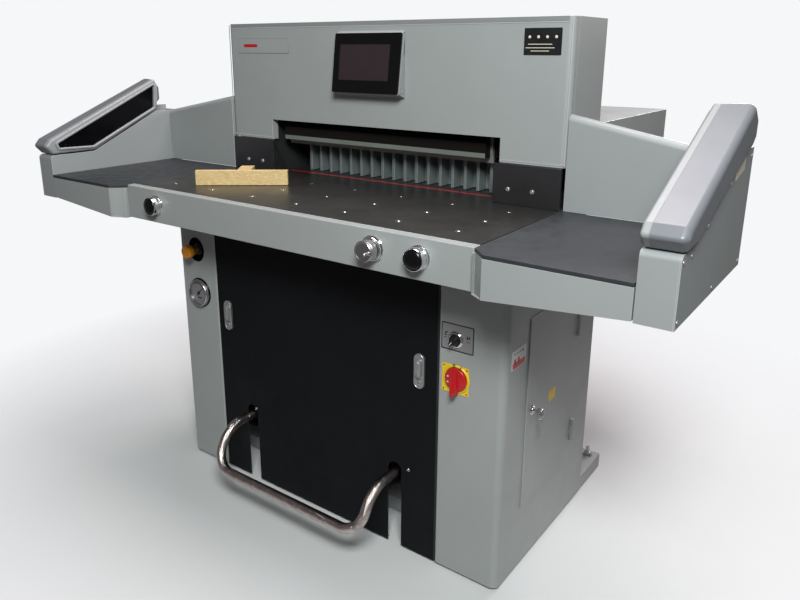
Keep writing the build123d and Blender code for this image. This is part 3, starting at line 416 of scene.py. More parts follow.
def bevelled(node, width, segments=3, angle=30):
    """Stand a copy of a CAD node with rounded edges in the node's place; where the material has a lighter
    edge copy, the bevel faces take it as a painted highlight.
    """
    material = node_material[node]
    work = bmesh.new()
    work.from_mesh(nodes[node].data)
    bmesh.ops.remove_doubles(work, verts=work.verts, dist=2e-6)
    bmesh.ops.dissolve_limit(work, angle_limit=radians(0.4), verts=work.verts,
        edges=work.edges, delimit={"NORMAL"})
    piece = add_piece(node + "_skin", work, material, body_of[node], [node])
    if width:
        modifier = piece.modifiers.new("bevel", "BEVEL")
        modifier.width = width * mm
        modifier.segments = segments
        modifier.limit_method = "ANGLE"
        modifier.angle_limit = radians(angle)
        modifier.use_clamp_overlap = True
        if material in edge_highlight_material:
            piece.data.materials.append(edge_highlight_material[material])
            modifier.material = 1
        apply_modifiers(piece)
    finish_mesh(piece, sharp=42)
    modifier = piece.modifiers.new("normals", "WEIGHTED_NORMAL")
    modifier.keep_sharp = True
    apply_modifiers(piece)
    return piece


def skin_into(work, rings, closed=False):
    """Join rings of points into a surface, closed on itself or capped at both ends."""
    made = [[work.verts.new(point) for point in ring] for ring in rings]
    pairs = list(zip(made, made[1:]))
    if closed:
        pairs.append((made[-1], made[0]))
    for one, two in pairs:
        count = max(len(one), len(two))
        for i in range(count):
            j = (i + 1) % count
            corners = [one[i % len(one)], one[j % len(one)], two[j % len(two)], two[i % len(two)]]
            corners = list(dict.fromkeys(corners))
            if len(corners) > 2:
                work.faces.new(corners)
    if not closed:
        for ring in (made[0], made[-1]):
            if len(ring) > 2:
                work.faces.new(ring)


def turn_into(work, place, axis, profile, segments=40):
    """Turn a (radius, height) profile in mm about an axis through place. A ring's profile closes on itself;
    a third value gives that ring so many flat sides."""
    up = Vector(axis).normalized()
    side = up.orthogonal().normalized()
    other = up.cross(side)
    rings = []
    for radius, height, *flats in profile:
        centre = Vector(place) + up * height * mm
        ring = []
        for step in range(segments):
            angle = 2 * pi * step / segments
            reach = radius
            if flats:
                part = 2 * pi / flats[0]
                reach = radius * cos(part / 2) / cos(angle % part - part / 2)
            ring.append(centre + (side * cos(angle) + other * sin(angle)) * reach * mm)
        rings.append(ring if radius else [centre])
    skin_into(work, rings, profile[0][0] > 0 and profile[-1][0] > 0)


def rounded(width, height, radius, steps=6):
    """A rectangle outline with round corners."""
    points = []
    for quarter, (x, y) in enumerate(((1, 1), (-1, 1), (-1, -1), (1, -1))):
        for step in range(steps + 1):
            angle = pi / 2 * (quarter + step / steps)
            points.append((x * (width / 2 - radius) + radius * cos(angle),
                y * (height / 2 - radius) + radius * sin(angle)))
    return points


def circle(radius, steps=40):
    return [(radius * cos(2 * pi * k / steps), radius * sin(2 * pi * k / steps)) for k in range(steps)]


def placed(outline, x=0.0, y=0.0, turn=0.0):
    """Turn an outline, then shift it."""
    return [(x + u * cos(turn) - v * sin(turn), y + u * sin(turn) + v * cos(turn)) for u, v in outline]


def grown(outline, amount):
    """Offset a convex outline outwards."""
    points = [Vector(point) for point in outline]
    result = []
    for index, point in enumerate(points):
        ahead = points[(index + 1) % len(points)] - point
        behind = point - points[index - 1]
        if ahead.length < 1e-6:
            ahead = points[(index + 2) % len(points)] - point
        if behind.length < 1e-6:
            behind = point - points[index - 2]
        along = (ahead.normalized() + behind.normalized()).normalized()
        stretch = 1 / max(0.4, along.dot(ahead.normalized()))
        result.append((point.x + along.y * amount * stretch, point.y - along.x * amount * stretch))
    return result


# the way out of the machine's front
forward = (0, -1, 0)
# the two directions of a flat piece; their cross product is the way that it faces
to_front = (Vector((1, 0, 0)), Vector((0, 0, 1)))
to_right = (Vector((0, 1, 0)), Vector((0, 0, 1)))
to_top = (Vector((1, 0, 0)), Vector((0, 1, 0)))


def ring_at(way, place, outline, height):
    facing = way[0].cross(way[1])
    return [place + (way[0] * u + way[1] * v + facing * height) * mm for u, v in outline]


def slab_into(work, way, place, outline, base, top, edge=0.4):
    """A flat piece on a face: outline in mm about place, from base to top, with rounded front edges."""
    rings = [ring_at(way, place, outline, base)]
    for part in (0, 0.3, 0.7, 1):
        sink = edge * (1 - (1 - (1 - part) ** 2) ** 0.5)
        rings.append(ring_at(way, place, grown(outline, -sink) if sink else outline,
            top - edge * (1 - part)))
    rings.append(ring_at(way, place, grown(outline, -edge), top))
    skin_into(work, rings)


def band_into(work, way, place, outer, inner, base, top, edge=0.2):
    """A flat frame between two outlines."""
    rings = [ring_at(way, place, outer, base), ring_at(way, place, outer, top - edge),
        ring_at(way, place, grown(outer, -edge), top), ring_at(way, place, grown(inner, edge), top),
        ring_at(way, place, inner, top - edge), ring_at(way, place, inner, base)]
    skin_into(work, rings, True)


def bead_into(work, loop, normal, radius, sides=10):
    """A round bead along a closed flat loop."""
    rings = []
    for index, point in enumerate(loop):
        ahead = (loop[(index + 1) % len(loop)] - point).normalized()
        along = (ahead + (point - loop[index - 1]).normalized()).normalized()
        out = along.cross(normal)
        stretch = 1 / max(0.5, along.dot(ahead))
        rings.append([point + (out * cos(2 * pi * k / sides) * stretch + normal * sin(2 * pi * k / sides))
            * radius for k in range(sides)])
    skin_into(work, rings, True)


def make(name, material, body, *parts, replaces=(), sharp=35):
    """A piece on one body, built of turned, flat or banded parts."""
    work = bmesh.new()
    for build, *values in parts:
        build(work, *values)
    return add_piece(name, work, material, body, replaces, sharp)


def middle(node):
    low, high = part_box(node)
    return (low + high) / 2


def spot(x, y, z):
    return Vector((x, y, z))


def islands(node):
    """The lowest and highest corner of each separate solid in a CAD node."""
    work = bmesh.new()
    work.from_mesh(nodes[node].data)
    bmesh.ops.remove_doubles(work, verts=work.verts, dist=2e-6)
    found = []
    seen = set()
    for start in work.verts:
        if start in seen:
            continue
        seen.add(start)
        group = [start]
        for vertex in group:
            for edge in vertex.link_edges:
                other = edge.other_vert(vertex)
                if other not in seen:
                    seen.add(other)
                    group.append(other)
        found.append((Vector([min(v.co[k] for v in group) for k in range(3)]),
            Vector([max(v.co[k] for v in group) for k in range(3)])))
    work.free()
    return found


def outline_at(node, side, outer):
    """The (y, z) hull in mm of a node's inner or outer face on one side of the machine, and its |x|."""
    points = [v.co for v in nodes[node].data.vertices if v.co.x * side > 0]
    plane = max(abs(p.x) for p in points) if outer else min(abs(p.x) for p in points)
    flat = [(p.y / mm, p.z / mm) for p in points if abs(abs(p.x) - plane) < 0.1 * mm]
    hull = [flat[index] for index in convex_hull_2d(flat)]
    kept = [hull[0]]
    for point in hull[1:]:
        if (Vector(point) - Vector(kept[-1])).length > 0.3:
            kept.append(point)
    return kept, plane


# ================= the pieces =================
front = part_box("left_column_cover")[0].y
head_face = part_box("head_front_cover")[0].y
bar_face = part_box("front_bar")[0].y
table_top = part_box("main_table")[1].z
dome = [(0, 1.2), (2.2, 1.2, 6), (2.3, 2.7, 6), (2.9, 3.0), (3.9, 2.7), (4.8, 1.9),
    (5.3, 0.9), (5.4, 0), (0, 0)]


def dome_screw_into(work, place, axis, size=1.0):
    turn_into(work, place, axis, [(r * size, h * size, *flats) for r, h, *flats in dome], 24)


def make_panel_screws():
    """Round-headed socket screws on the side panels, the steel plates and the operator panel."""
    work = bmesh.new()
    for low, high in islands("panel_screws"):
        size = high - low
        place = (low + high) / 2
        if size.y < size.x:
            place.y = high.y
            dome_screw_into(work, place, forward, 1.1)
        else:
            side = 1 if place.x > 0 else -1
            place.x = low.x if side > 0 else high.x
            dome_screw_into(work, place, (side, 0, 0), size.z / (14 * mm))
    add_piece("panel_screw_heads", work, satin_plate, "root", ["panel_screws"])


def make_buttons():
    """Black domed caps in stepped chrome sleeves, and the handwheel with its flange."""
    work = bmesh.new()
    sleeve = [(10.2, 0), (27, 0), (27, 1.6), (26.4, 2.4), (25.2, 2.6), (24.6, 4), (24.6, 8),
        (23.9, 8.7), (23.9, 10), (24.6, 10.7), (24.6, 24), (24.2, 24.8), (23.4, 25.2), (22.6, 24.8),
        (22.4, 24), (22.4, 9), (10.2, 9)]
    for body, node in (("left_button", "left_push_button"), ("right_button", "right_push_button")):
        centre = spot(middle(node).x, bar_face, middle(node).z)
        turn_into(work, centre, forward, sleeve, 56)
        cap = bmesh.new()
        turn_into(cap, centre, forward, [(0, 29.6), (7, 29.4), (13, 28.6), (17.5, 27.3), (20.4, 25.5),
            (21.6, 23.6), (22, 22), (22, 17), (10, 17), (10, -40), (0, -40)], 56)
        add_piece(body + "_cap", cap, black_gloss, body, [node])
    wheel = spot(middle("handwheel").x, bar_face, middle("handwheel").z)
    turn_into(work, wheel, forward, [(8.2, 0), (29.5, 0), (29.5, 3.4), (28.6, 4.4), (26.8, 4.6),
        (26.6, 8.6), (25.8, 9.8), (24.6, 10.2), (8.2, 10.2)], 56)
    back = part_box("bar_fittings")[1].y
    for centre, radius in ((spot(middle("left_push_button").x, back, wheel.z), 15),
            (spot(middle("right_push_button").x, back, wheel.z), 15), (spot(wheel.x, back, wheel.z), 12.5)):
        turn_into(work, centre, forward, [(10.2, 0), (radius, 0), (radius, 56), (10.2, 56)])
        turn_into(work, centre, forward, [(radius, 18), (radius + 7, 18, 6),
            (radius + 7, 28, 6), (radius, 28)])
    add_piece("bar_fittings_turned", work, chrome, "root", ["bar_fittings"])
    work = bmesh.new()
    screw_circle = 27.6
    for step in range(3):
        angle = radians(35 + 120 * step)
        place = wheel + Vector((screw_circle * cos(angle), 0, screw_circle * sin(angle))) * mm
        turn_into(work, place, forward, [(0, 4.3), (1.3, 4.9), (1.3, 4.0), (0, 4.0)], 12)
    add_piece("flange_screws", work, black_plastic, "root")
    work = bmesh.new()
    rear = (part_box("handwheel")[1].y - bar_face) / mm
    turn_into(work, wheel, forward, [(0, 35.3), (19, 35.3), (20, 36), (21.8, 36), (23, 34.8), (23, 31),
        (22.2, 30.2), (22.2, 28.8), (23, 28), (23, 14), (22, 12.8), (8, 12.8), (8, -rear + 6),
        (11, -rear + 6), (11, -rear), (0, -rear)], 56)
    pin = wheel + Vector((16, 0, -1)) * mm
    turn_into(work, pin, forward, [(0, 53.6), (2.6, 53.4), (3.7, 52.4), (4, 51), (4, 40), (5, 38.6),
        (5.4, 35.2), (0, 35.2)], 24)
    add_piece("handwheel_turned", work, silver, "handwheel", ["handwheel"])


def make_gauge():
    """Pressure gauge: dark flange, bright bezel, dial with plain ticks; and its needle's hub."""
    centre = spot(middle("gauge_case").x, front, middle("gauge_case").z)
    make("gauge_flange", black_gloss, "root", (turn_into, centre, forward,
        [(39, 0), (45, 0), (45, 2.2), (44, 3.4), (41, 4), (39, 4)], 64))
    make("gauge_bezel", silver, "root",
        (turn_into, centre, forward, [(35.5, 0), (41.4, 0), (41.4, 9), (40.8, 11.6), (39.4, 13.4),
            (37.6, 14), (36.2, 13), (35.6, 10.8), (35.5, 7)], 64),
        (turn_into, centre, (0, 1, 0), [(0, 0), (40, 0), (40, 35), (38, 36), (8, 36), (8, 52), (0, 52)], 48),
        replaces=["gauge_case"])
    make("gauge_dial", dial, "root", (turn_into, centre, forward, [(0, 5), (36, 5), (36, 1), (0, 1)], 64))
    work = bmesh.new()
    first_tick, tick_step = 225, 6.75
    for step in range(41):
        angle = radians(first_tick - tick_step * step)
        length = 7 if step % 5 == 0 else 3.5
        width = 0.9 if step % 5 == 0 else 0.5
        tick = placed(rounded(length, width, 0.15, 2), 33.5 - length / 2, 0)
        slab_into(work, to_front, centre, placed(tick, turn=angle), 4.9, 5.25, 0.1)
    slab_into(work, to_front, centre, placed(rounded(16, 4, 1), 0, -16), 4.9, 5.25, 0.1)
    add_piece("gauge_ticks", work, black_plastic, "root")
    make("gauge_needle_hub", black_gloss, "gauge_needle", (turn_into, centre, forward,
        [(0, 10.6), (3, 10.2), (4.4, 8.8), (4.5, 7.4), (0, 7.4)], 32))


def make_pressure_knob():
    """Amber knob on brown collars, in an oval well painted flat black as shade."""
    centre = spot(middle("pressure_knob").x, front, middle("pressure_knob").z)
    oval = [(34.6 * u, 37.6 * v) for u, v in circle(1, 48)]
    inner = [(33.4 * u, 36.4 * v) for u, v in circle(1, 48)]
    # the well is lined in flat black: painted shade inside the recess
    work = bmesh.new()
    skin_into(work, [ring_at(to_front, centre, oval, -1.2), ring_at(to_front, centre, inner, -0.4),
        ring_at(to_front, centre, inner, -10.5), ring_at(to_front, centre, circle(6.3, 48), -10.5),
        ring_at(to_front, centre, circle(6.3, 48), -11.5), ring_at(to_front, centre, oval, -11.5)], True)
    add_piece("pressure_well", work, painted_shade_black, "root")
    work = bmesh.new()
    fluting, fluting_at_ends, steps = 0.9, 0.2, 96
    rings = []
    for radius, height in ((0, 40.6), (14, 40.5), (17.6, 39.8), (19, 38.2), (19.4, 36), (19.4, 24),
            (18.6, 21.5), (17, 20.4), (0, 20.4)):
        flute = fluting if 20 < height < 39 else fluting_at_ends
        ring = []
        for k in range(steps):
            angle = 2 * pi * k / steps
            reach = radius - flute * (k % 4 == 0)
            ring.append(centre + Vector((reach * cos(angle), 0, reach * sin(angle))) * mm
                - Vector((0, height * mm, 0)))
        rings.append(ring if radius else [ring[0]])
    skin_into(work, rings)
    add_piece("pressure_knob_cap", work, amber, "pressure_knob", ["pressure_knob"])
    make("pressure_knob_collar", brown, "pressure_knob", (turn_into, centre, forward,
        [(0, 20.8), (14.4, 20.8), (15, 20), (15, 12), (14, 11), (12.5, 11), (12.5, 3), (11.5, 2), (6, 2),
        (6, -30), (0, -30)], 48))
    make("pressure_lock_nut", black_plastic, "root", (turn_into, centre, forward,
        [(6.6, -10), (17, -10), (17, -6), (16, -5), (6.6, -5)], 48))


def make_selector():
    """Satin plate with a black border and plain marks, chrome ring, black turning knob with a white line."""
    knob = spot(middle("selector_knob").x, front, middle("selector_knob").z)
    centre = knob + Vector((4, 0, 5)) * mm
    make("selector_plate", satin_plate, "root", (slab_into, to_front, centre,
        rounded(86, 66, 3), 0, 1.2, 0.3))
    work = bmesh.new()
    band_into(work, to_front, centre, rounded(85.6, 65.6, 2.8), rounded(81, 61, 1.6), 0.6, 1.45, 0.1)
    for x, y, width, height, turn in ((-30, 8, 9, 3, 0.5), (-31, 2, 7, 2.6, -0.4), (-32, -4, 8, 1.4, 0.1),
            (26, 6, 3, 8, 0.2), (31, 7, 3.4, 7, -0.3), (29, -4, 9, 1.4, 0.1)):
        slab_into(work, to_front, centre, placed(rounded(width, height, 0.6, 3), x, y, turn), 1.0, 1.4, 0.1)
    add_piece("selector_border", work, black_plastic, "root")
    make("selector_ring", chrome, "root", (turn_into, knob, forward,
        [(14.4, 1.3), (20.4, 1.3), (20.4, 2.4), (19.4, 4.6), (17.4, 6.4), (15.6, 7),
        (14.6, 6.6), (14.4, 5)], 56))
    work = bmesh.new()
    turn_into(work, knob, forward, [(0, 13.4), (9, 13.2), (12.2, 12.2), (13.6, 10), (14, 7), (14, 2.2),
        (5, 2.2), (5, -20), (0, -20)], 48)
    grip_turn = radians(-38)
    slab_into(work, to_front, knob, placed(rounded(8.5, 26, 3.2), 0, 0, grip_turn), 9, 19.6, 1.6)
    add_piece("selector_cap", work, black_plastic, "selector", ["selector_knob"])
    make("selector_pointer", white, "selector", (slab_into, to_front, knob,
        placed(placed(rounded(1.6, 11, 0.7), 0, -6), 0, 0, grip_turn), 19.4, 19.9, 0.15))


def make_main_switch():
    """Yellow plate with a raised ring, a red disc and its wedge handle."""
    knob = spot(middle("main_switch_knob").x, front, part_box("main_switch_knob")[1].z - 29 * mm)
    centre = knob - Vector((4, 0, 2)) * mm
    make("switch_plate", yellow, "root",
        (slab_into, to_front, centre, rounded(72, 70, 2), 0, 1.3, 0.3),
        (turn_into, knob, forward, [(29.6, 0.9), (35, 0.9), (34.4, 3), (32.8, 4.4),
            (31, 4.4), (29.8, 3)], 64),
        replaces=["control_plates"])
    work = bmesh.new()
    upright = rounded(1.8, 7, 0.4, 3)
    slab_into(work, to_front, knob, placed(upright, 12, 31.6, -0.36), 3.4, 4.7, 0.1)
    band_into(work, to_front, knob, placed(rounded(5.6, 7.6, 2.4), -6, 33.2, 0.2),
        placed(rounded(3, 4.8, 1.3), -6, 33.2, 0.2), 3.4, 4.7, 0.1)
    for x in (-31, 31):
        for y in (-30, 30):
            turn_into(work, centre + Vector((x, 0, y)) * mm, forward,
                [(0, 1.7), (1.9, 1.6), (2.2, 1.2), (0, 1.2)], 16)
    add_piece("switch_marks", work, black_plastic, "root")
    work = bmesh.new()
    turn_into(work, knob, forward, [(0, 9.4), (24.5, 9.4), (27, 8.8), (28.6, 7.2), (29, 5), (28.4, 3),
        (28, 2), (5, 2), (5, -20), (0, -20)], 64)
    rings = []
    for down, half_width, height in ((21, 4.5, 11), (12, 6.2, 16), (-6, 7.6, 21), (-26, 7.8, 25),
            (-35, 6.6, 25.5), (-37.5, 5, 23)):
        ring = [(-half_width, 5), (half_width, 5), (half_width * 0.92, height - 3),
            (half_width * 0.6, height), (-half_width * 0.6, height), (-half_width * 0.92, height - 3)]
        rings.append([knob + Vector((x, -y, down)) * mm for x, y in ring])
    skin_into(work, rings)
    add_piece("switch_handle", work, red, "main_switch", ["main_switch_knob"], 50)
    rivet = [(0, 9.9), (2.2, 9.7), (2.4, 9), (0, 9)]
    make("switch_lock_rivets", cream, "main_switch", *((turn_into, knob + Vector((-19, 0, up)) * mm,
        forward, rivet, 20) for up in (6, -8)))


def make_latches():
    """Satin capsule plates on the door, each with a flip lever, and black marks as painted shade for its
    fine seam and keyhole.
    """
    for side in ("left", "right"):
        node = side + "_latch_handle"
        pivot = spot(middle(node).x, front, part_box(node)[1].z - 12 * mm)
        centre = pivot - Vector((0, 0, 22)) * mm
        work = bmesh.new()
        slab_into(work, to_front, centre, rounded(29.6, 90.6, 14.7, 8), 0, 4.2, 1.0)
        band_into(work, to_front, centre, rounded(29.2, 90.2, 14.5, 8),
            rounded(23.6, 84.6, 11.8, 8), 3.4, 5.8, 0.8)
        turn_into(work, centre - Vector((0, 0, 30)) * mm, forward, [(0, 6.5), (6.4, 6.5), (7.2, 6.2),
            (7.4, 4), (0, 4)], 32)
        add_piece(side + "_latch_plate", work, satin_plate, "front_door")
        work = bmesh.new()
        lever = rounded(18.5, 47, 9.2, 8)
        rings = []
        for height, inset in ((4.4, 0), (9.6, 0), (11.4, 0.7), (12.2, 2.2)):
            rings.append(ring_at(to_front, pivot - Vector((0, 0, 13)) * mm,
                grown(lever, -inset) if inset else lever, height))
        skin_into(work, rings)
        turn_into(work, pivot, forward, [(0, 13.2), (4.4, 13), (5.2, 12.2), (5.2, 11), (0, 11)], 28)
        turn_into(work, pivot, forward, [(0, 4.6), (6, 4.6), (6, -16), (0, -16)], 28)
        slab_into(work, to_front, pivot, rounded(14, 24, 2), -14, -10, 0.5)
        add_piece(side + "_latch_lever", work, satin_plate, side + "_latch", [node])
        # black marks as painted shade for the plate's fine seam and its keyhole
        work = bmesh.new()
        slab_into(work, to_front, centre, placed(rounded(17, 0.9, 0.3, 2), 0, -21), 4.0, 4.5, 0.1)
        keyhole = centre - Vector((0, 0, 30)) * mm
        slab_into(work, to_front, keyhole, rounded(1.6, 5, 0.5, 2), 6.2, 6.8, 0.1)
        add_piece(side + "_latch_keyhole_shade", work, painted_shade_black, "front_door")


def make_door_details():
    """Bright screws beside the pedal slots, and a black strip set back at the door's right edge as painted
    shade for the gap.
    """
    low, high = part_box("front_door")
    slots = (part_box("pedal")[0].x + 18.5 * mm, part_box("pedal")[1].x - 18.5 * mm)
    work = bmesh.new()
    beside, height = 30 * mm, 0.243
    for x in slots:
        dome_screw_into(work, spot(x + beside, front, height), forward, 0.9)
    add_piece("slot_screws", work, bright_steel, "front_door")
    # a dark strip set back in the gap: painted shade of the door's right edge gap
    gap = spot(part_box("right_cabinet_cover")[0].x - 1.4 * mm, front, (low.z + high.z) / 2)
    make("door_gap_shade_strip", rubber, "root", (slab_into, to_front, gap,
        rounded(3.4, (high.z - low.z) / mm, 0.3, 2), -6, -1.0, 0.1))


def make_head_details():
    """Blank nameplate, indicator label, a darker top band as painted shade, and lighter lines as painted
    highlights on the head's seam and panel edges.
    """
    low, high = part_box("head_front_cover")
    nameplate = spot(-417.5 * mm, head_face, high.z - 64 * mm)
    make("nameplate", light_paint, "root", (slab_into, to_front, nameplate,
        rounded(211, 42, 2), 0, 1.3, 0.4))
    make("nameplate_frame", shade_and_trim_paint, "root", (band_into, to_front, nameplate, rounded(212, 43, 2.2),
        rounded(209.6, 40.6, 1.4), 0.2, 1.5, 0.1))
    make("nameplate_bar", red, "root", (slab_into, to_front, nameplate,
        placed(rounded(58, 9, 4.4), -52, 0), 1.1, 1.6, 0.15))
    label = spot(489.5 * mm, head_face, high.z - 55 * mm)
    make("indicator_label", black_plastic, "root", (slab_into, to_front, label,
        rounded(93, 60, 2), 0, 1.3, 0.3))
    work = bmesh.new()
    for column in range(4):
        turn_into(work, label + Vector((-33 + 22 * column, 0, 10)) * mm, forward,
            [(0, 2.4), (2.4, 2.2), (3.4, 1.4), (3.4, 1.1), (0, 1.1)], 24)
    for row, width in ((-6, 60), (-14, 72), (-21, 46)):
        slab_into(work, to_front, label, placed(rounded(width, 1.6, 0.5, 2), -6, row), 1.1, 1.5, 0.1)
    add_piece("indicator_marks", work, cream, "root")
    width = (high.x - low.x) / mm
    # a darker strip along the head's top edge: painted shade
    shade_band_place = spot(0, head_face, high.z - 5.5 * mm)
    make("head_top_shade_band", shade_and_trim_paint, "root", (slab_into, to_front, shade_band_place,
        rounded(width - 28, 10.4, 1.2), 0, 0.7, 0.5))
    # lighter strips along the side edges, below the top and along the lip: painted highlights on the head's
    # edges
    work = bmesh.new()
    tall = (high.z - low.z) / mm
    for side in (-1, 1):
        slab_into(work, to_front, spot(side * (high.x - 4 * mm), head_face, (low.z + high.z) / 2),
            rounded(3, tall - 8, 1.2), 0, 0.7, 0.5)
    slab_into(work, to_front, spot(0, head_face, high.z - 12.5 * mm),
        rounded(width - 20, 2.4, 1), 0, 0.9, 0.5)
    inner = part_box("steel_plates")[0].x + 165 * mm
    lip = (high.x + inner) / mm
    for side in (-1, 1):
        slab_into(work, to_front, spot(side * (high.x - lip / 2 * mm - 2 * mm), head_face, low.z + 7 * mm),
            rounded(lip - 8, 2.6, 1), 0, 0.8, 0.5)
    add_piece("head_edge_highlights", work, edge_highlight_paint, "root")


def make_operator_panel():
    """Light rim behind the black bezel, and a black mark as painted shade for the side slot."""
    low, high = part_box("hmi_bezel")
    tilt = radians(7.7)
    up = Vector((0, sin(tilt), cos(tilt)))
    way = (Vector((1, 0, 0)), up)
    facing = way[0].cross(way[1])
    centre = Vector(((low.x + high.x) / 2, middle("hmi_bezel").y, (low.z + high.z) / 2)) + facing * 2 * mm
    width = (high.x - low.x) / mm
    make("hmi_rim", ring_plastic, "root", (slab_into, way, centre, placed(rounded(width + 1, 157.5, 5),
        1.8, -1), -9, -4.2, 0.8))
    # a thin black mark on the housing side: painted shade for a slot
    box_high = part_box("hmi_housing")[1]
    slot_place = spot(box_high.x, box_high.y - 5 * mm, box_high.z - 36 * mm)
    make("hmi_side_slot_shade", painted_shade_black, "root", (slab_into, to_right, slot_place,
        rounded(1.8, 58, 0.8, 3), -0.5, 0.25, 0.1))


def make_guards():
    """Raised bead round each black window, and a darker band along the joint between ring and shell as
    painted shadow of the gap.
    """
    beads = bmesh.new()
    # a darker band round each ring's outer edge: painted shadow of the joint
    seam_shadows = bmesh.new()
    for side in (-1, 1):
        outline, plane = outline_at("guard_windows", side, False)
        face = outline_at("guard_frames", side, False)[1]
        loop = [Vector((side * face, y * mm, z * mm)) for y, z in grown(outline, 3.6)]
        bead_into(beads, loop, Vector((1, 0, 0)), 4.2 * mm, 12)
        outline, plane = outline_at("guard_frames", side, True)
        way = to_right
        place = Vector((side * plane, 0, 0))
        band_into(seam_shadows, way, place, grown(outline, 0.25), grown(outline, -4), -0.6, 0.6, 0.1)
    add_piece("guard_window_beads", beads, ring_plastic, "root", sharp=60)
    add_piece("guard_seam_shadows", seam_shadows, shade_and_trim_paint, "root")


def make_side_labels():
    """Plain labels: a cream patch on the right side panel, a white and a yellow one on the cabinet side."""
    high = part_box("outer_panels")[1]
    patch = spot(high.x, high.y - 92 * mm, high.z - 42 * mm)
    make("side_panel_patch", cream, "root", (slab_into, to_right, patch,
        [(-52, -10), (20, 4), (20, 36), (-52, 22)], 0, 0.5, 0.1))
    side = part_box("access_door")[0].x - 0.5 * mm
    breaker_height, tag_height = 0.599, 0.428
    place = spot(side, front + 61 * mm, breaker_height)
    make("breaker_label", white, "root", (slab_into, to_right, place, rounded(72, 46, 2), 0, 0.5, 0.1))
    work = bmesh.new()
    slab_into(work, to_right, place, placed(rounded(62, 14, 2), 0, -14), 0.3, 0.8, 0.1)
    for x in (-20, -2):
        slab_into(work, to_right, place, placed(rounded(9, 12, 1.5), x, -4), 0.3, 0.8, 0.1)
    add_piece("breaker_label_bars", work, red, "root")
    work = bmesh.new()
    for x in (-22, -8, 6):
        slab_into(work, to_right, place, placed(rounded(9, 1.6, 0.5, 2), x, 14), 0.3, 0.75, 0.1)
    slab_into(work, to_right, place, placed(rounded(5, 6, 1, 2), 18, 13), 0.3, 0.75, 0.1)
    add_piece("breaker_label_lines", work, frame_paint, "root")
    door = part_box("access_door")
    tag = spot(door[0].x + 2.5 * mm, front + 258 * mm, tag_height)
    make("plain_yellow_label", yellow, "access_door", (slab_into, to_right, tag,
        rounded(40, 30, 3), 0, 0.5, 0.1))


def make_lock():
    """Lock barrel with a key in it, a ring and a second key hanging from it."""
    low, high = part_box("access_lock")
    place = spot(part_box("access_door")[0].x + 2.5 * mm, (low.y + high.y) / 2, (low.z + high.z) / 2)
    work = bmesh.new()
    turn_into(work, place, (1, 0, 0), [(0, 5.2), (8.4, 5.2), (9, 4.4), (9.2, 2.6), (13.2, 2.2), (14, 1.2),
        (14, 0.4), (9, 0.4), (9, -8.6), (0, -8.6)], 40)
    slab_into(work, to_right, place, placed(rounded(12, 34, 2), 0, 0), -8.5, -5.6, 0.3)
    bow = place + Vector((20, 0, 0)) * mm
    out = (Vector((1, 0, 0)), Vector((0, 0, 1)))
    slab_into(work, out, bow - Vector((11, 0, 0)) * mm, rounded(12, 6, 0.6, 3), -1, 1, 0.3)
    band_into(work, out, bow + Vector((2, 0, 0)) * mm, placed(rounded(17, 19, 6.5), 0, 0),
        placed(rounded(6, 4, 1.9), 4, 5), -1.1, 1.1, 0.3)
    add_piece("lock_and_key", work, silver, "access_lock", ["access_lock"])
    centre = bow + Vector((4, 0, -7)) * mm
    loop = [centre + Vector((0.25 * sin(2 * pi * k / 40), 0.97 * sin(2 * pi * k / 40),
        cos(2 * pi * k / 40))) * 12 * mm for k in range(40)]
    normal = (loop[10] - centre).cross(loop[0] - centre).normalized()
    make("key_ring", bright_steel, "access_lock", (bead_into, loop, normal, 0.8 * mm, 8))
    second = centre - Vector((0, 0, 21)) * mm
    side = (Vector((0.25, 0.97, 0)).normalized(), Vector((0, 0, 1)))
    make("spare_key", satin_plate, "access_lock",
        (band_into, side, second, rounded(19, 18, 7), placed(rounded(5, 4, 1.9), 0, 5.4), -1, 1, 0.3),
        (slab_into, side, second, placed([(-3.6, -16), (3.6, -16), (3.6, 14),
            (-3.6, 14)], 0, -22), -0.9, 0.9, 0.2))


def make_table_details():
    """Bright seats round the air balls, and a lighter line on the front bar's top as a painted highlight."""
    work = bmesh.new()
    for low, high in islands("air_balls"):
        place = spot((low.x + high.x) / 2, (low.y + high.y) / 2, table_top)
        turn_into(work, place, (0, 0, 1), [(5.0, -1.5), (8.2, -1.5), (8.2, 0.05), (7.6, 0.22),
            (5.6, 0.22), (5.0, 0)], 28)
    add_piece("ball_seats", work, bright_steel, "root")
    low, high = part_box("front_bar")
    length = (high.x - low.x) / mm - 6
    # a strip in the lighter edge paint along the bar's top: painted highlight
    make("bar_edge_highlight", edge_highlight_paint, "root", (slab_into, to_top, spot(0, high.y - 6 * mm, high.z),
        rounded(length, 4, 0.6, 3), -0.4, 0.6, 0.3))


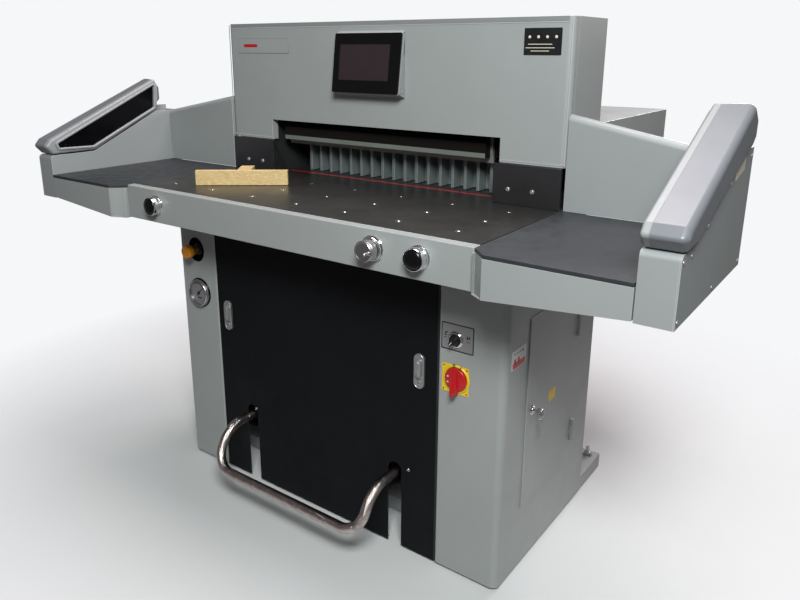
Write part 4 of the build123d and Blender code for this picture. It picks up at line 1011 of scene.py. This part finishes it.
def make_frame_details():
    """Washers under the levelling bolts and screws on the rear covers."""
    work = bmesh.new()
    foot_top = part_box("base_frame")[1].z
    for low, high in islands("levelling_bolts"):
        place = spot((low.x + high.x) / 2, (low.y + high.y) / 2, foot_top)
        turn_into(work, place, (0, 0, 1), [(12.2, 0), (16, 0), (16, 1.6), (15.4, 2.2), (12.2, 2.2)], 32)
    add_piece("bolt_washers", work, bright_steel, "root")
    work = bmesh.new()
    panel_low, panel_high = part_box("rear_panel")
    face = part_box("left_column_cover")[1].y
    for x in (panel_low.x + 18 * mm, (panel_low.x + panel_high.x) / 2, panel_high.x - 18 * mm):
        for z in (panel_low.z + 20 * mm, (panel_low.z + panel_high.z) / 2, panel_high.z - 20 * mm):
            dome_screw_into(work, spot(x, face, z), (0, 1, 0))
    cover_low, cover_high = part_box("rear_table_cover")
    for side in (-1, 1):
        for share in (0.06, 0.5, 0.94):
            y = cover_low.y + (cover_high.y - cover_low.y) * share
            place = spot(side * cover_high.x, y, cover_low.z + 60 * mm)
            place.x -= side * 0.8 * mm
            dome_screw_into(work, place, (side, 0, 0), 0.8)
    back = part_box("head_rear_cover")[1]
    screw_line = 0.52
    for side in (-1, 1):
        for down in (40, 140, 240):
            dome_screw_into(work, spot(side * screw_line, back.y, back.z - down * mm), (0, 1, 0))
    add_piece("rear_screws", work, bright_steel, "root")


def make_carriage_strip():
    """Light metal strip along the carriage's lower front edge, and a black band above it as painted shade of
    the opening over the carriage.
    """
    low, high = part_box("knife_carrier")
    width = (high.x - low.x) / mm - 4
    make("carriage_strip", light_strip, "knife_carriage", (slab_into, to_front,
        spot((low.x + high.x) / 2, low.y, low.z + 6.5 * mm), rounded(width, 12, 1), 0, 1.5, 0.6))
    # a flat black band on the carriage face: painted shade of the dark opening above the beam
    make("carriage_shade_band", painted_shade_black, "knife_carriage", (slab_into, to_front,
        spot((low.x + high.x) / 2, low.y, low.z + 100 * mm), rounded(width, 124, 1), 0, 1.2, 0.4))


def make_drive_details():
    """Screw thread on the leadscrew."""
    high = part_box("leadscrew")[1]
    centre = Vector((0, 0, middle("leadscrew").z))
    work = bmesh.new()
    pitch = 5.0
    profile = ((11.6, -1.6), (12.05, -0.7), (12.05, 0.7), (11.6, 1.6))
    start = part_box("backgauge_rails")[0].y + 16 * mm
    end = high.y - 16 * mm
    turns = int((end - start) / (pitch * mm))
    steps = 20
    rings = []
    for step in range(turns * steps + 1):
        angle = 2 * pi * step / steps
        y = start + pitch * mm * step / steps
        out = Vector((cos(angle), 0, sin(angle)))
        rings.append([centre + out * radius * mm + Vector((0, y + along * mm, 0))
                      for radius, along in profile])
    skin_into(work, rings)
    add_piece("leadscrew_thread", work, satin_plate, "leadscrew")


for node, material in node_material.items():
    cad = nodes[node]
    cad.data.materials.clear()
    cad.data.materials.append(material)

make_camera()
make_lights()
make_floor(floor_material)

usual_bevel = 0.8
bevel_of = {"side_boards": 1.2, "main_table": 1.0, "back_walls": 1.5, "backgauge": 1.0, "clamp_beam": 1.0,
    "paper_pusher": 1.2, "base_frame": 2.0, "hmi_housing": 1.5, "hmi_bezel": 1.5, "access_door": 0.6,
    "guard_windows": 0.6, "pedal": 0}
bevel_nodes = ("head_front_cover head_rear_cover left_column_cover right_cabinet_cover front_door "
               "rear_table_cover side_boards side_trays main_table back_walls left_side_wall "
               "right_side_wall outer_panels backgauge clamp_beam paper_pusher base_frame hmi_housing "
               "hmi_bezel steel_plates access_door side_guides front_bar guard_windows pedal "
               "knife_carrier levelling_bolts")
for node in bevel_nodes.split():
    bevelled(node, bevel_of.get(node, usual_bevel))
bevelled("guard_frames", 0)
bevelled("guard_shells", 5, 4, 24)

make_panel_screws()
make_buttons()
make_gauge()
make_pressure_knob()
make_selector()
make_main_switch()
make_latches()
make_door_details()
make_head_details()
make_operator_panel()
make_guards()
make_side_labels()
make_lock()
make_table_details()
make_frame_details()
make_carriage_strip()
make_drive_details()
